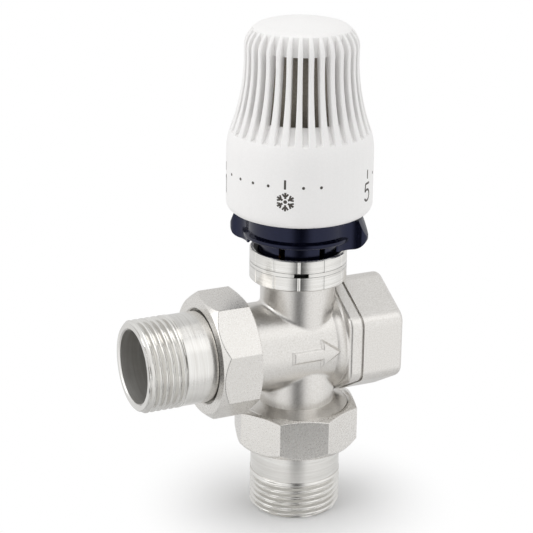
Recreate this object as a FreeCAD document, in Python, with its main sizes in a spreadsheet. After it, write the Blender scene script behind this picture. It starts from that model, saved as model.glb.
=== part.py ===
"""Three-way thermostatic valve with a screwed-on sensor head.

Millimetres, +Z up. The origin is the centre of the bottom tailpiece's end face, on which
the valve stands. The left port points along -X, the threaded female port along +X, and the
head stands on the upper neck. Stem, plug and head share the vertical axis.
"""
import FreeCAD, Part
import math
import os

import Sketcher

os.makedirs("parts", exist_ok=True)
doc = FreeCAD.newDocument("ThreeWayValve")

# Driving sizes in millimetres, degrees or counts. Heights in the head are above the head
# seat, which is the body's top face.
SIZES = {
    # Tailpieces with a one-inch pipe thread
    "tail_length": 31.0,
    "pipe_thread_radius": 16.62,
    "pipe_thread_chamfer": 1.2,
    "pipe_thread_depth": 1.47,
    "pipe_thread_pitch": 2.309,
    "pipe_thread_flat": 0.277,
    "pipe_thread_turns": 5,
    "pipe_thread_runout": 1.555,
    "shank_step": 0.22,
    "tail_wall": 3.37,
    "flange_grip": 1.23,
    "flange_thickness": 2.75,
    "gasket_thickness": 1.6,
    "gasket_land": 0.6,
    # Clearances
    "thread_clearance": 0.05,
    "turning_gap": 0.05,
    "loose_gap": 0.3,
    # Union nuts
    "nut_sides": 8,
    "nut_wall": 2.465,
    "nut_length": 15.4,
    "nut_cone_length": 2.3,
    "nut_top_chamfer": 1.2,
    "nut_rim": 1.45,
    "nut_mouth_chamfer": 0.6,
    "nut_edge": 0.45,
    "lip_thickness": 2.6,
    "lip_bore_gap": 0.45,
    "lip_chamfer": 0.4,
    "lip_face": 3.6,
    "left_nut_turn": 28.0,
    "bottom_nut_turn": 5.2,
    # Body, measured from the crossing of the port axes
    "arm_room": 1.585,
    "flange_room": 0.6,
    "union_thread_length": 8.0,
    "union_thread_chamfer": 0.8,
    "union_shoulder": 1.6,
    "barrel_wall": 4.1,
    "lower_neck_radius": 13.9,
    "neck_wall": 0.8,
    "neck_stand": 16.9,
    "head_thread_step": 1.5,
    "head_thread_length": 7.6,
    "head_thread_chamfer": 0.7,
    "neck_fillet": 1.6,
    "flare_start": 8.6,
    "flare_length": 2.4,
    "flare_arc": 6.0,
    "ring_inset": 0.35,
    "ring_length": 4.7,
    "ring_groove": 0.8,
    "ring_groove_depth": 0.45,
    "ring_edge": 1.4,
    "hex_wall": 4.35,
    "hex_corner": 5.0,
    "hex_length": 16.4,
    "hex_edge": 2.2,
    "port_thread_depth": 15.5,
    "port_mouth_chamfer": 1.2,
    "arrow_length": 17.0,
    "arrow_width": 2.8,
    "arrow_head": 5.6,
    "arrow_span": 7.6,
    "arrow_relief": 0.8,
    # Passages
    "arm_bore_radius": 12.0,
    "passage_radius": 11.0,
    "chamber_radius": 10.8,
    "dividing_wall": 3.0,
    "bridge_rise": 0.5,
    "bridge_thickness": 3.0,
    "seat_radius": 7.5,
    "seat_ring_radius": 12.0,
    "seat_ring_height": 4.8,
    # Bonnet and its seals
    "bonnet_seat_height": 16.0,
    "bonnet_thread_radius": 11.0,
    "bonnet_flange_step": 1.5,
    "bonnet_flange_gap": 0.2,
    "bonnet_flange_height": 3.0,
    "bonnet_sink": 1.5,
    "bonnet_hex_flats": 19.0,
    "bonnet_hex_height": 3.5,
    "bonnet_seal_section": 0.5,
    "bonnet_seal_drop": 2.0,
    "guide_length": 3.0,
    "stem_seal_section": 0.9,
    "seal_gap": 0.05,
    "gland_radius": 6.15,
    "gland_height": 3.0,
    # Stem and plug
    "stem_radius": 2.5,
    "stem_clearance": 0.05,
    "spigot_radius": 2.0,
    "stem_top": 10.0,
    "stem_chamfer": 0.5,
    "plug_room": 0.9,
    "plug_height": 5.5,
    "plug_rim": 0.6,
    "rim_depth": 1.2,
    "plug_seal_thickness": 2.0,
    "valve_lift": 2.7,
    "seat_clearance": 0.1,
    "plug_nut_flats": 7.0,
    "plug_nut_height": 3.0,
    "stem_end_stand": 0.6,
    "clip_height": 3.0,
    "clip_radius": 3.9,
    "clip_thickness": 0.8,
    "clip_groove_depth": 0.5,
    "clip_mouth": 3.0,
    "washer_room": 0.55,
    "washer_thickness": 1.0,
    "return_coil_radius": 4.4,
    "return_wire_radius": 0.5,
    "return_turns": 5,
    # Head collar nut and its snap ring
    "collar_wall": 2.4,
    "collar_height": 11.4,
    "collar_drop": 8.2,
    "collar_lip_thickness": 1.2,
    "collar_cup_rim": 1.05,
    "collar_edge": 0.4,
    "collar_flutes": 12,
    "flute_width": 0.9,
    "flute_depth": 0.35,
    "flute_turn": 4.5,
    "snap_groove_drop": 2.2,
    "snap_groove_width": 1.6,
    "snap_groove_depth": 1.05,
    "snap_ring_height": 1.3,
    "snap_ring_thickness": 1.0,
    "snap_ring_gap": 5.3,
    "snap_ring_turn": -112.4,
    # Head base
    "collet_step": 0.7,
    "collet_wall": 1.4,
    "collet_flange_inset": 0.1,
    "collet_flange": 0.9,
    "collet_bead": 0.35,
    "collet_fingers": 6,
    "finger_gap": 2.4,
    "finger_gap_low": 2.3,
    "finger_gap_high": 6.4,
    "collet_turn": 39.5,
    "base_plate_height": 9.0,
    "base_plate_thickness": 3.0,
    "ring_seat_reach": 1.7,
    "ring_seat_step": 0.5,
    "ring_seat_height": 9.6,
    "ring_seat_length": 10.0,
    "sensor_room": 1.0,
    "base_sleeve_wall": 2.5,
    "base_sleeve_height": 40.0,
    "guide_tube_wall": 1.35,
    "guide_tube_height": 12.0,
    "key_width": 3.0,
    "key_depth": 1.1,
    "key_gap": 0.1,
    # Stops that limit the handwheel's turn
    "stop_turn": 20.0,
    "stop_lug": 63.5,
    "stop_nib": 10.0,
    "stop_play": 0.25,
    "stop_lug_height": 4.0,
    "stop_height": 1.5,
    # Locking ring
    "drum_wall": 2.45,
    "drum_drop": 0.75,
    "bead_reach": 1.5,
    "bead_height": 2.4,
    "bead_edge": 0.8,
    "ring_floor": 1.5,
    "wing_reach": 25.4,
    "wing_width": 6.0,
    "wing_blend": 9.0,
    "wing_drop": 2.8,
    "wing_height": 10.6,
    "wing_lean": 2.6,
    "wing_corner": 4.2,
    "wing_turn": -42.2,
    # Handwheel
    "cap_stand": 1.35,
    "cap_foot": 3.6,
    "cap_room": 2.0,
    "band_top": 39.0,
    "band_wall": 1.9,
    "shoulder_inset": 1.5,
    "shoulder_height": 47.4,
    "shoulder_arc": 24.3,
    "waist_radius": 20.1,
    "waist_drop": 7.5,
    "waist_arc": 72.9,
    "crown_radius": 15.4,
    "crown_stand": 5.5,
    "crown_arc": 8.4,
    "dome_rise": 2.3,
    "cap_wall": 1.3,
    "rib_depth": 3.0,
    "rib_count": 32,
    "rib_gap": 2.1,
    "rib_gap_low": 47.6,
    "rib_end_radius": 17.0,
    "slot_low": 52.0,
    "slot_end_drop": 0.4,
    "slot_foot_radius": 20.3,
    "rib_turn": 0.1,
    "hub_wall": 1.75,
    "hub_stand": 0.4,
    "hub_web": 2.0,
    "cap_boss_radius": 5.0,
    # Sensor and what it pushes
    "sensor_foot_step": 1.0,
    "sensor_foot_length": 7.5,
    "sensor_height": 49.6,
    "sensor_edge": 2.0,
    "carrier_floor": 1.5,
    "carrier_gap": 0.1,
    "cup_radius": 8.0,
    "cup_wall": 0.8,
    "cup_stand": 1.4,
    "cup_length": 15.0,
    "cup_floor": 1.2,
    "guide_clearance": 0.05,
    "pusher_radius": 4.0,
    "pusher_flange": 1.4,
    "pusher_gap": 0.1,
    "over_coil_room": 1.0,
    "over_wire_radius": 0.6,
    "over_turns": 5,
}

# Points taken along an edge to tell where it lies, how near counts as on it, and half a turn
EDGE_SAMPLES = 9
NEAR = 1e-3
HALF_TURN = 180.0


class Size:
    """A length with its value and the sheet formula that it follows."""

    def __init__(self, value, formula):
        self.value = value
        self.formula = formula

    def join(self, other, sign, value):
        """The size that an operation on this one and another gives."""
        return Size(value, f"({self.formula} {sign} {formula_of(other)})")

    def __add__(self, other):
        return self.join(other, "+", self.value + value_of(other))

    def __radd__(self, other):
        return self + other

    def __sub__(self, other):
        return self.join(other, "-", self.value - value_of(other))

    def __mul__(self, other):
        return self.join(other, "*", self.value * value_of(other))

    def __truediv__(self, other):
        return self.join(other, "/", self.value / value_of(other))

    def __rtruediv__(self, other):
        return Size(float(other) / self.value, f"({float(other)} / {self.formula})")

    def __neg__(self):
        return Size(-self.value, f"(0 - {self.formula})")


def value_of(size):
    """The number behind a size or a plain number."""
    return size.value if isinstance(size, Size) else float(size)


def formula_of(size):
    """The sheet formula behind a size or a plain number."""
    return size.formula if isinstance(size, Size) else repr(float(size))


def root(size):
    """The square root of a size."""
    return Size(math.sqrt(size.value), f"sqrt({size.formula})")


def cosine(angle):
    """The cosine of an angle in degrees."""
    return Size(math.cos(math.radians(angle.value)), f"cos({angle.formula} * 1 deg)")


def sine(angle):
    """The sine of an angle in degrees."""
    return Size(math.sin(math.radians(angle.value)), f"sin({angle.formula} * 1 deg)")


def fill_sheet():
    """The sheet of driving sizes, and a size for each of its cells."""
    sheet = doc.addObject("Spreadsheet::Sheet", "Sizes")
    sizes = {}
    for row, (alias, value) in enumerate(SIZES.items(), start=1):
        sheet.set(f"A{row}", alias)
        sheet.set(f"B{row}", str(value))
        sheet.setAlias(f"B{row}", alias)
        sizes[alias] = Size(float(value), f"Sizes.{alias}")
    doc.recompute()
    return sizes


class Named:
    """The sheet's sizes as attributes."""

    def __init__(self, sizes):
        self.__dict__.update(sizes)


d = Named(fill_sheet())


# Drawing helpers


def origin_part(body, role):
    """One of a body's own origin planes or axes."""
    return next(part for part in body.Origin.OriginFeatures if part.Role == role)


def arc_between(start, end, radius, turn):
    """The short arc from start to end: turn is +1 anticlockwise or -1 clockwise."""
    span = end - start
    rise = math.sqrt(max(radius * radius - span.Length ** 2 / 4, 0.0))
    left = FreeCAD.Vector(-span.y, span.x, 0).normalize()
    centre = (start + end) / 2 + left * rise * turn
    first, last = (start, end) if turn > 0 else (end, start)
    angles = [math.atan2((p - centre).y, (p - centre).x) for p in (first, last)]
    if angles[1] < angles[0]:
        angles[1] += 2 * math.pi
    circle = Part.Circle(centre, FreeCAD.Vector(0, 0, 1), radius)
    return Part.ArcOfCircle(circle, *angles)


def pin_point(sketch, edge, end, across, up):
    """Hold one end of an edge at its distances from the sketch's origin."""
    for kind, size, axis in (("DistanceX", across, -2), ("DistanceY", up, -1)):
        if abs(value_of(size)) < NEAR:
            sketch.addConstraint(Sketcher.Constraint("PointOnObject", edge, end, axis))
            continue
        hold = Sketcher.Constraint(kind, -1, 1, edge, end, value_of(size))
        index = sketch.addConstraint(hold)
        sketch.setExpression(f"Constraints[{index}]", formula_of(size))


def outline(body, name, points, plane="XZ_Plane"):
    """A closed outline on one of the body's origin planes.

    Each point is (across, up), reached by a straight line from the one before it, or
    (across, up, radius, turn), reached by an arc that turns +1 anticlockwise or -1 clockwise.
    """
    sketch = body.newObject("Sketcher::SketchObject", name)
    sketch.AttachmentSupport = (origin_part(body, plane), [""])
    sketch.MapMode = "FlatFace"
    corners = [FreeCAD.Vector(value_of(p[0]), value_of(p[1]), 0) for p in points]
    ends = []
    for index, point in enumerate(points):
        start = corners[index - 1]
        end = corners[index]
        if len(point) == 2:
            edge = sketch.addGeometry(Part.LineSegment(start, end), False)
            ends.append((edge, 1, 2))
            continue
        radius, turn = point[2], point[3]
        edge = sketch.addGeometry(arc_between(start, end, value_of(radius), turn), False)
        ends.append((edge, 1, 2) if turn > 0 else (edge, 2, 1))
        hold = sketch.addConstraint(Sketcher.Constraint("Radius", edge, value_of(radius)))
        sketch.setExpression(f"Constraints[{hold}]", formula_of(radius))
    for index, (edge, first, last) in enumerate(ends):
        following = ends[(index + 1) % len(ends)]
        meet = Sketcher.Constraint("Coincident", edge, last, following[0], following[1])
        sketch.addConstraint(meet)
        pin_point(sketch, edge, last, points[index][0], points[index][1])
    return sketch


def set_size(feature, name, size):
    """Bind a feature's property to a size."""
    setattr(feature, name, value_of(size))
    feature.setExpression(name, formula_of(size))


def place(thing, x=0, y=0, z=0, axis=(0, 0, 1), turn=0):
    """Put a piece at its place: turned about an axis, then moved."""
    turned_by = FreeCAD.Rotation(FreeCAD.Vector(*axis), value_of(turn))
    spot = FreeCAD.Vector(value_of(x), value_of(y), value_of(z))
    thing.Placement = FreeCAD.Placement(spot, turned_by)
    for letter, size in (("x", x), ("y", y), ("z", z)):
        if isinstance(size, Size):
            thing.setExpression(f".Placement.Base.{letter}", size.formula)
    if isinstance(turn, Size):
        thing.setExpression(".Placement.Rotation.Angle", turn.formula)
    return thing


def named_body(label):
    """An empty body with its own label."""
    body = doc.addObject("PartDesign::Body", label)
    body.Label = label
    return body


def turned(label, points):
    """A body turned about Z from a half section of (radius, height) points."""
    body = named_body(label)
    sketch = outline(body, label + "_section", points)
    feature = body.newObject("PartDesign::Revolution", label + "_turn")
    feature.Profile = sketch
    feature.ReferenceAxis = (sketch, ["V_Axis"])
    feature.Angle = 360
    return body


def groove(body, name, points):
    """Turn a half section away from a body, all round its Z axis."""
    sketch = outline(body, name + "_section", points)
    feature = body.newObject("PartDesign::Groove", name)
    feature.Profile = sketch
    feature.ReferenceAxis = (sketch, ["V_Axis"])
    feature.Angle = 360
    return feature


def cut_slot(body, name, points, width):
    """Cut a slot of the given width, drawn on the XZ plane and centred on it."""
    sketch = outline(body, name + "_section", points)
    feature = body.newObject("PartDesign::Pocket", name)
    feature.Profile = sketch
    feature.Midplane = True
    set_size(feature, "Length", width)
    return feature


def pad_slab(body, name, points, width):
    """Add a slab of the given width, drawn on the XZ plane and centred on it."""
    sketch = outline(body, name + "_section", points)
    feature = body.newObject("PartDesign::Pad", name)
    feature.Profile = sketch
    feature.Midplane = True
    set_size(feature, "Length", width)
    return feature


def pad_sector(body, name, radii, turns, low, high):
    """Add a block between two radii, from a start angle through a span, low to high."""
    inner, outer = radii
    start, span = turns
    end = start + span
    sketch = outline(body, name + "_plan", [
        (inner * cosine(start), inner * sine(start)),
        (outer * cosine(start), outer * sine(start)),
        (outer * cosine(end), outer * sine(end), outer, 1),
        (inner * cosine(end), inner * sine(end)),
    ], plane="XY_Plane")
    lift_sketch(sketch, low)
    feature = body.newObject("PartDesign::Pad", name)
    feature.Profile = sketch
    set_size(feature, "Length", high - low)
    return feature


def lift_sketch(sketch, height):
    """Raise a sketch on the XY plane to a height."""
    spot = FreeCAD.Vector(0, 0, height.value)
    sketch.AttachmentOffset = FreeCAD.Placement(spot, FreeCAD.Rotation())
    sketch.setExpression(".AttachmentOffset.Base.z", height.formula)


def repeat_round(body, feature, count):
    """Repeat a feature evenly round the body's Z axis."""
    pattern = body.newObject("PartDesign::PolarPattern", feature.Name + "_round")
    pattern.Originals = [feature]
    pattern.Axis = (origin_part(body, "Z_Axis"), [""])
    pattern.Angle = 360
    pattern.Occurrences = int(value_of(count))
    if isinstance(count, Size):
        pattern.setExpression("Occurrences", count.formula)
    body.Tip = pattern
    return pattern


def cylinder(name, radius, height):
    """A cylinder that stands on the XY plane."""
    thing = doc.addObject("Part::Cylinder", name)
    set_size(thing, "Radius", radius)
    set_size(thing, "Height", height)
    return thing


def box(name, length, width, height):
    """A box with one corner at the origin."""
    thing = doc.addObject("Part::Box", name)
    set_size(thing, "Length", length)
    set_size(thing, "Width", width)
    set_size(thing, "Height", height)
    return thing


def prism(name, sides, corner_radius, height):
    """A regular prism that stands on the XY plane, with a corner on the X axis."""
    thing = doc.addObject("Part::Prism", name)
    thing.Polygon = int(value_of(sides))
    if isinstance(sides, Size):
        thing.setExpression("Polygon", sides.formula)
    set_size(thing, "Circumradius", corner_radius)
    set_size(thing, "Height", height)
    return thing


def joined(kind, label, base, tool):
    """A Part boolean of two things: kind is Cut, Fuse or Common."""
    thing = doc.addObject("Part::" + kind, label)
    thing.Label = label
    thing.Base = base
    thing.Tool = tool
    return thing


def fused(label, things):
    """Several things as one solid."""
    thing = doc.addObject("Part::MultiFuse", label)
    thing.Label = label
    thing.Shapes = things
    return thing


def rounded(label, base, radius, chosen):
    """A thing with the edges rounded whose points pass the test."""
    doc.recompute()
    thing = doc.addObject("Part::Fillet", label)
    thing.Label = label
    thing.Base = base
    reach = radius.value
    edges = enumerate(base.Shape.Edges, start=1)
    thing.Edges = [(n, reach, reach) for n, edge in edges if chosen(edge.discretize(EDGE_SAMPLES))]
    return thing


def corner_of_hexagon(flats):
    """The corner radius of a hexagon from its width across flats."""
    return flats / math.sqrt(3)


def rings(label, centres, ring_radius, wire_radius):
    """Round seal rings about Z at the given heights, as one piece of separate solids."""
    tori = []
    for index, height in enumerate(centres):
        torus = doc.addObject("Part::Torus", f"{label}_{index}")
        set_size(torus, "Radius1", ring_radius)
        set_size(torus, "Radius2", wire_radius)
        tori.append(place(torus, z=height))
    if len(tori) == 1:
        tori[0].Label = label
        return tori[0]
    group = doc.addObject("Part::Compound", label)
    group.Label = label
    group.Links = tori
    return group


def coil(label, coil_radius, wire_radius, turns, bottom, top):
    """A round-wire spring about Z that fills the height from bottom to top."""
    body = named_body(label)
    sketch = body.newObject("Sketcher::SketchObject", label + "_wire")
    sketch.AttachmentSupport = (origin_part(body, "XZ_Plane"), [""])
    sketch.MapMode = "FlatFace"
    low = bottom + wire_radius
    centre = FreeCAD.Vector(coil_radius.value, low.value, 0)
    wire = Part.Circle(centre, FreeCAD.Vector(0, 0, 1), wire_radius.value)
    sketch.addGeometry(wire, False)
    pin_point(sketch, 0, 3, coil_radius, low)
    index = sketch.addConstraint(Sketcher.Constraint("Radius", 0, wire_radius.value))
    sketch.setExpression(f"Constraints[{index}]", wire_radius.formula)
    helix = body.newObject("PartDesign::AdditiveHelix", label + "_helix")
    helix.Profile = sketch
    helix.ReferenceAxis = (sketch, ["V_Axis"])
    helix.Mode = "height-turns-angle"
    set_size(helix, "Height", top - bottom - wire_radius * 2)
    set_size(helix, "Turns", turns)
    return body


# Radii and heights that several pieces share

tail_bore_radius = d.pipe_thread_radius - d.tail_wall
lip_bore_radius = d.pipe_thread_radius + d.lip_bore_gap
flange_radius = lip_bore_radius + d.flange_grip
union_thread_radius = flange_radius + d.flange_room
union_bore_radius = union_thread_radius + d.thread_clearance
nut_half_flats = union_bore_radius + d.nut_wall
port_thread_radius = d.pipe_thread_radius - d.pipe_thread_depth
hex_flats = (port_thread_radius + d.hex_wall) * 2
barrel_radius = d.arm_bore_radius + d.barrel_wall
ring_flats = hex_flats - d.ring_inset * 2
bonnet_flange_radius = d.bonnet_thread_radius + d.bonnet_flange_step
upper_neck_radius = bonnet_flange_radius + d.bonnet_flange_gap + d.neck_wall
head_thread_radius = upper_neck_radius + d.head_thread_step
flange_back = d.tail_length - d.flange_thickness
nut_low = flange_back - d.turning_gap - d.lip_thickness
nut_top = nut_low + d.nut_length
union_face = d.tail_length + d.gasket_thickness
arm_reach = nut_half_flats + nut_top - union_face + d.arm_room
port_height = union_face + arm_reach
head_seat = port_height + barrel_radius + d.neck_stand
bridge_under = port_height + d.bridge_rise
bridge_top = bridge_under + d.bridge_thickness
plug_stack = d.plug_height + d.plug_seal_thickness * 2
chamber_floor = bridge_under - d.seat_clearance * 2 - d.valve_lift - plug_stack
bonnet_bottom = port_height + d.bonnet_seat_height
bonnet_ledge = head_seat - d.bonnet_sink
left_end = -port_height
hex_start = d.flare_start + d.flare_length + d.ring_length + d.ring_groove * 2
right_end = hex_start + d.hex_length


# Unions: tailpiece, gasket and eight-sided nut, drawn upright from the tail's end


def thread_section(crest, start):
    """Section points of the pipe thread, drawn as rings: a flat crest, then a V with a flat root."""
    flat = d.pipe_thread_flat
    flank = d.pipe_thread_pitch / 2 - flat
    root_radius = crest - d.pipe_thread_depth
    points = []
    for turn in range(SIZES["pipe_thread_turns"]):
        low = start + d.pipe_thread_pitch * turn
        points += [
            (crest, low + flat),
            (root_radius, low + flat + flank),
            (root_radius, low + flat * 2 + flank),
            (crest, low + d.pipe_thread_pitch),
        ]
    return points


def tailpiece(label):
    """A turned tail with a pipe thread at its end and a flange that the nut pulls on."""
    crest = d.pipe_thread_radius
    chamfer = d.pipe_thread_chamfer
    shank_radius = crest - d.shank_step
    thread_end = chamfer + d.pipe_thread_pitch * d.pipe_thread_turns + d.pipe_thread_runout
    return turned(label, [
        (tail_bore_radius, 0),
        (crest - chamfer, 0),
        (crest, chamfer),
    ] + thread_section(crest, chamfer) + [
        (crest, thread_end),
        (shank_radius, thread_end),
        (shank_radius, flange_back),
        (flange_radius, flange_back),
        (flange_radius, d.tail_length),
        (tail_bore_radius, d.tail_length),
    ])


def gasket(label):
    """The flat ring between the tail's flange and the body's end face."""
    inner = tail_bore_radius + d.gasket_land
    return turned(label, [
        (inner, d.tail_length),
        (flange_radius, d.tail_length),
        (flange_radius, union_face),
        (inner, union_face),
    ])


def union_nut(label, turn):
    """An eight-sided nut, coned towards the tail, with an inner lip behind the flange."""
    lip_mouth = lip_bore_radius + d.lip_chamfer
    corner = nut_half_flats / cosine(HALF_TURN / d.nut_sides)
    round_part = turned(label + "_round", [
        (lip_mouth, nut_low),
        (lip_mouth + d.lip_face, nut_low),
        (corner, nut_low + d.nut_cone_length),
        (corner, nut_top - d.nut_top_chamfer),
        (union_bore_radius + d.nut_rim, nut_top),
        (union_bore_radius + d.nut_mouth_chamfer, nut_top),
        (union_bore_radius, nut_top - d.nut_mouth_chamfer),
        (union_bore_radius, flange_back - d.turning_gap),
        (lip_bore_radius, flange_back - d.turning_gap),
        (lip_bore_radius, nut_low + d.lip_chamfer),
    ])
    sides = prism(label + "_sides", d.nut_sides, corner, nut_top)
    place(sides, turn=turn)
    sharp = joined("Common", label + "_sharp", round_part, sides)
    inside = union_bore_radius.value + d.nut_mouth_chamfer.value + NEAR

    def on_outside(points):
        return all(math.hypot(p.x, p.y) > inside for p in points)

    return rounded(label, sharp, d.nut_edge, on_outside)


def lay_left(piece):
    """Lay an upright union piece along the left port's axis."""
    return place(piece, x=left_end, z=port_height, axis=(0, 1, 0), turn=90)


left_tailpiece = lay_left(tailpiece("left_tailpiece"))
left_union_gasket = lay_left(gasket("left_union_gasket"))
left_union_nut = lay_left(union_nut("left_union_nut", d.left_nut_turn))
bottom_tailpiece = tailpiece("bottom_tailpiece")
bottom_union_gasket = gasket("bottom_union_gasket")
bottom_union_nut = union_nut("bottom_union_nut", d.bottom_nut_turn)


# Valve body


def union_end(start, root_radius):
    """Section points of a threaded union end, from its face up to its root."""
    thread_end = start + d.union_thread_length
    return [
        (0, start),
        (union_thread_radius - d.union_thread_chamfer, start),
        (union_thread_radius, start + d.union_thread_chamfer),
        (union_thread_radius, thread_end),
        (root_radius, thread_end + d.union_shoulder),
    ]


def body_casting():
    """The outside of the body: barrel, two necks, hexagonal end and a raised flow arrow."""
    flare_end = d.flare_start + d.flare_length
    groove_radius = ring_flats / 2 - d.ring_groove_depth
    groove_end = arm_reach + hex_start + d.ring_groove
    barrel = turned("barrel", union_end(0, barrel_radius) + [
        (barrel_radius, arm_reach + d.flare_start),
        (groove_radius, arm_reach + flare_end, d.flare_arc, -1),
        (groove_radius, groove_end),
        (0, groove_end),
    ])
    place(barrel, x=-arm_reach, z=port_height, axis=(0, 1, 0), turn=90)

    def on_foot_face(points):
        return all(abs(p.z) < NEAR for p in points)

    ring_sides = prism("ring_sides", 6, corner_of_hexagon(ring_flats), d.ring_length)
    ring_cast = rounded("ring_cast", ring_sides, d.hex_corner, is_upright)
    hex_ring = rounded("hex_ring", ring_cast, d.ring_edge, on_foot_face)
    place(hex_ring, x=flare_end + d.ring_groove, z=port_height, axis=(0, 1, 0), turn=90)

    core_start = flare_end + d.ring_groove + d.ring_length / 2
    core_flats = ring_flats - d.ring_groove_depth * 2
    core_length = d.ring_length / 2 + d.ring_groove + d.hex_length / 2
    core_sides = prism("core_sides", 6, corner_of_hexagon(core_flats), core_length)
    groove_core = rounded("groove_core", core_sides, d.hex_corner, is_upright)
    place(groove_core, x=core_start, z=port_height, axis=(0, 1, 0), turn=90)

    def on_end_face(points):
        return all(abs(p.z - d.hex_length.value) < NEAR for p in points)

    hex_sides = prism("hex_sides", 6, corner_of_hexagon(hex_flats), d.hex_length)
    hex_cast = rounded("hex_cast", hex_sides, d.hex_corner, is_upright)
    hex_end = rounded("hex_end", hex_cast, d.hex_edge, on_end_face)
    place(hex_end, x=hex_start, z=port_height, axis=(0, 1, 0), turn=90)

    thread_start = head_seat - d.head_thread_length
    upper_neck = turned("upper_neck", [
        (0, port_height),
        (upper_neck_radius, port_height),
        (upper_neck_radius, thread_start),
        (head_thread_radius, thread_start),
        (head_thread_radius, head_seat - d.head_thread_chamfer),
        (head_thread_radius - d.head_thread_chamfer, head_seat),
        (0, head_seat),
    ])
    lower_neck = turned("lower_neck", union_end(union_face, d.lower_neck_radius) + [
        (d.lower_neck_radius, port_height),
        (0, port_height),
    ])

    necked = fused("necked", [barrel, upper_neck, lower_neck])
    softened = rounded("softened", necked, d.neck_fillet, is_saddle)

    return fused("casting", [softened, hex_ring, groove_core, hex_end, flow_arrow()])


def flow_arrow():
    """An arrow on the front of the barrel, raised by its relief and curved with the barrel."""
    reach = barrel_radius + d.arrow_relief
    tip = d.arrow_length / 2
    neck = tip - d.arrow_head
    arrow_round = cylinder("arrow_round", reach, d.arrow_length)
    place(arrow_round, x=-tip, z=port_height, axis=(0, 1, 0), turn=90)
    plan = named_body("arrow_plan")
    sketch = outline(plan, "arrow_outline", [
        (-tip, -(d.arrow_width / 2)),
        (neck, -(d.arrow_width / 2)),
        (neck, -(d.arrow_span / 2)),
        (tip, 0),
        (neck, d.arrow_span / 2),
        (neck, d.arrow_width / 2),
        (-tip, d.arrow_width / 2),
    ])
    feature = plan.newObject("PartDesign::Pad", "arrow_block")
    feature.Profile = sketch
    set_size(feature, "Length", reach)
    place(plan, z=port_height)
    return joined("Common", "flow_arrow", arrow_round, plan)


def is_saddle(points):
    """True of an edge where a neck meets the barrel."""
    on_barrel = all(
        abs(math.hypot(p.y, p.z - port_height.value) - barrel_radius.value) < NEAR
        for p in points
    )
    radii = [math.hypot(p.x, p.y) for p in points]
    necks = (upper_neck_radius.value, d.lower_neck_radius.value)
    on_neck = any(all(abs(r - neck) < NEAR for r in radii) for neck in necks)
    return on_barrel and on_neck


def is_upright(points):
    """True of a straight edge along Z."""
    return all(math.hypot(p.x - points[0].x, p.y - points[0].y) < NEAR for p in points)


def passages():
    """What is cut out of the casting: ports, chambers, seats and the bonnet's bore."""
    wall_at = d.chamber_radius + d.dividing_wall

    left_bore = cylinder("left_bore", d.arm_bore_radius, arm_reach - wall_at)
    place(left_bore, x=-arm_reach, z=port_height, axis=(0, 1, 0), turn=90)
    right_bore = turned("right_bore", [
        (0, wall_at),
        (d.arm_bore_radius, wall_at),
        (d.arm_bore_radius, right_end - d.port_thread_depth),
        (port_thread_radius, right_end - d.port_thread_depth),
        (port_thread_radius, right_end - d.port_mouth_chamfer),
        (port_thread_radius + d.port_mouth_chamfer, right_end),
        (0, right_end),
    ])
    place(right_bore, z=port_height, axis=(0, 1, 0), turn=90)

    overlap = d.dividing_wall + d.dividing_wall
    run = wall_at + overlap
    over_round = cylinder("over_round", d.passage_radius, run)
    place(over_round, x=-run, z=port_height, axis=(0, 1, 0), turn=90)
    over_half = box("over_half", run, d.passage_radius * 2, d.passage_radius)
    place(over_half, x=-run, y=-d.passage_radius, z=bridge_top)
    over_bridge = joined("Common", "over_bridge", over_round, over_half)

    under_round = cylinder("under_round", d.passage_radius, run)
    place(under_round, z=port_height, axis=(0, 1, 0), turn=90)
    under_half = box("under_half", run, d.passage_radius * 2, d.passage_radius * 2)
    place(under_half, y=-d.passage_radius, z=bridge_under - d.passage_radius * 2)
    under_bridge = joined("Common", "under_bridge", under_round, under_half)

    bonnet_bore = d.bonnet_thread_radius + d.thread_clearance
    sink_radius = bonnet_flange_radius + d.bonnet_flange_gap
    shaft = turned("shaft", [
        (0, d.tail_length),
        (d.seat_ring_radius + d.thread_clearance, d.tail_length),
        (d.seat_ring_radius + d.thread_clearance, chamber_floor),
        (d.chamber_radius, chamber_floor),
        (d.chamber_radius, bridge_under),
        (d.seat_radius, bridge_under),
        (d.seat_radius, bridge_top),
        (d.chamber_radius, bridge_top),
        (d.chamber_radius, bonnet_bottom),
        (bonnet_bore, bonnet_bottom),
        (bonnet_bore, bonnet_ledge),
        (sink_radius, bonnet_ledge),
        (sink_radius, head_seat),
        (0, head_seat),
    ])
    return fused("passages", [left_bore, right_bore, over_bridge, under_bridge, shaft])


valve_body = joined("Cut", "valve_body", body_casting(), passages())

lower_seat_ring = turned("lower_seat_ring", [
    (d.seat_radius, chamber_floor - d.seat_ring_height),
    (d.seat_ring_radius, chamber_floor - d.seat_ring_height),
    (d.seat_ring_radius, chamber_floor),
    (d.seat_radius, chamber_floor),
])


# Bonnet, seals and gland

seal_floor = bonnet_bottom + d.guide_length
gland_floor = seal_floor + d.stem_seal_section * 4 + d.seal_gap * 2
gland_top = gland_floor + d.gland_height
flange_top = bonnet_ledge + d.bonnet_flange_height
stem_bore = d.stem_radius + d.stem_clearance
seal_pocket = d.stem_radius + d.seal_gap * 2 + d.stem_seal_section * 2
spring_pocket = d.gland_radius + d.thread_clearance
bonnet_seal_centre = bonnet_ledge - d.bonnet_seal_drop


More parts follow.
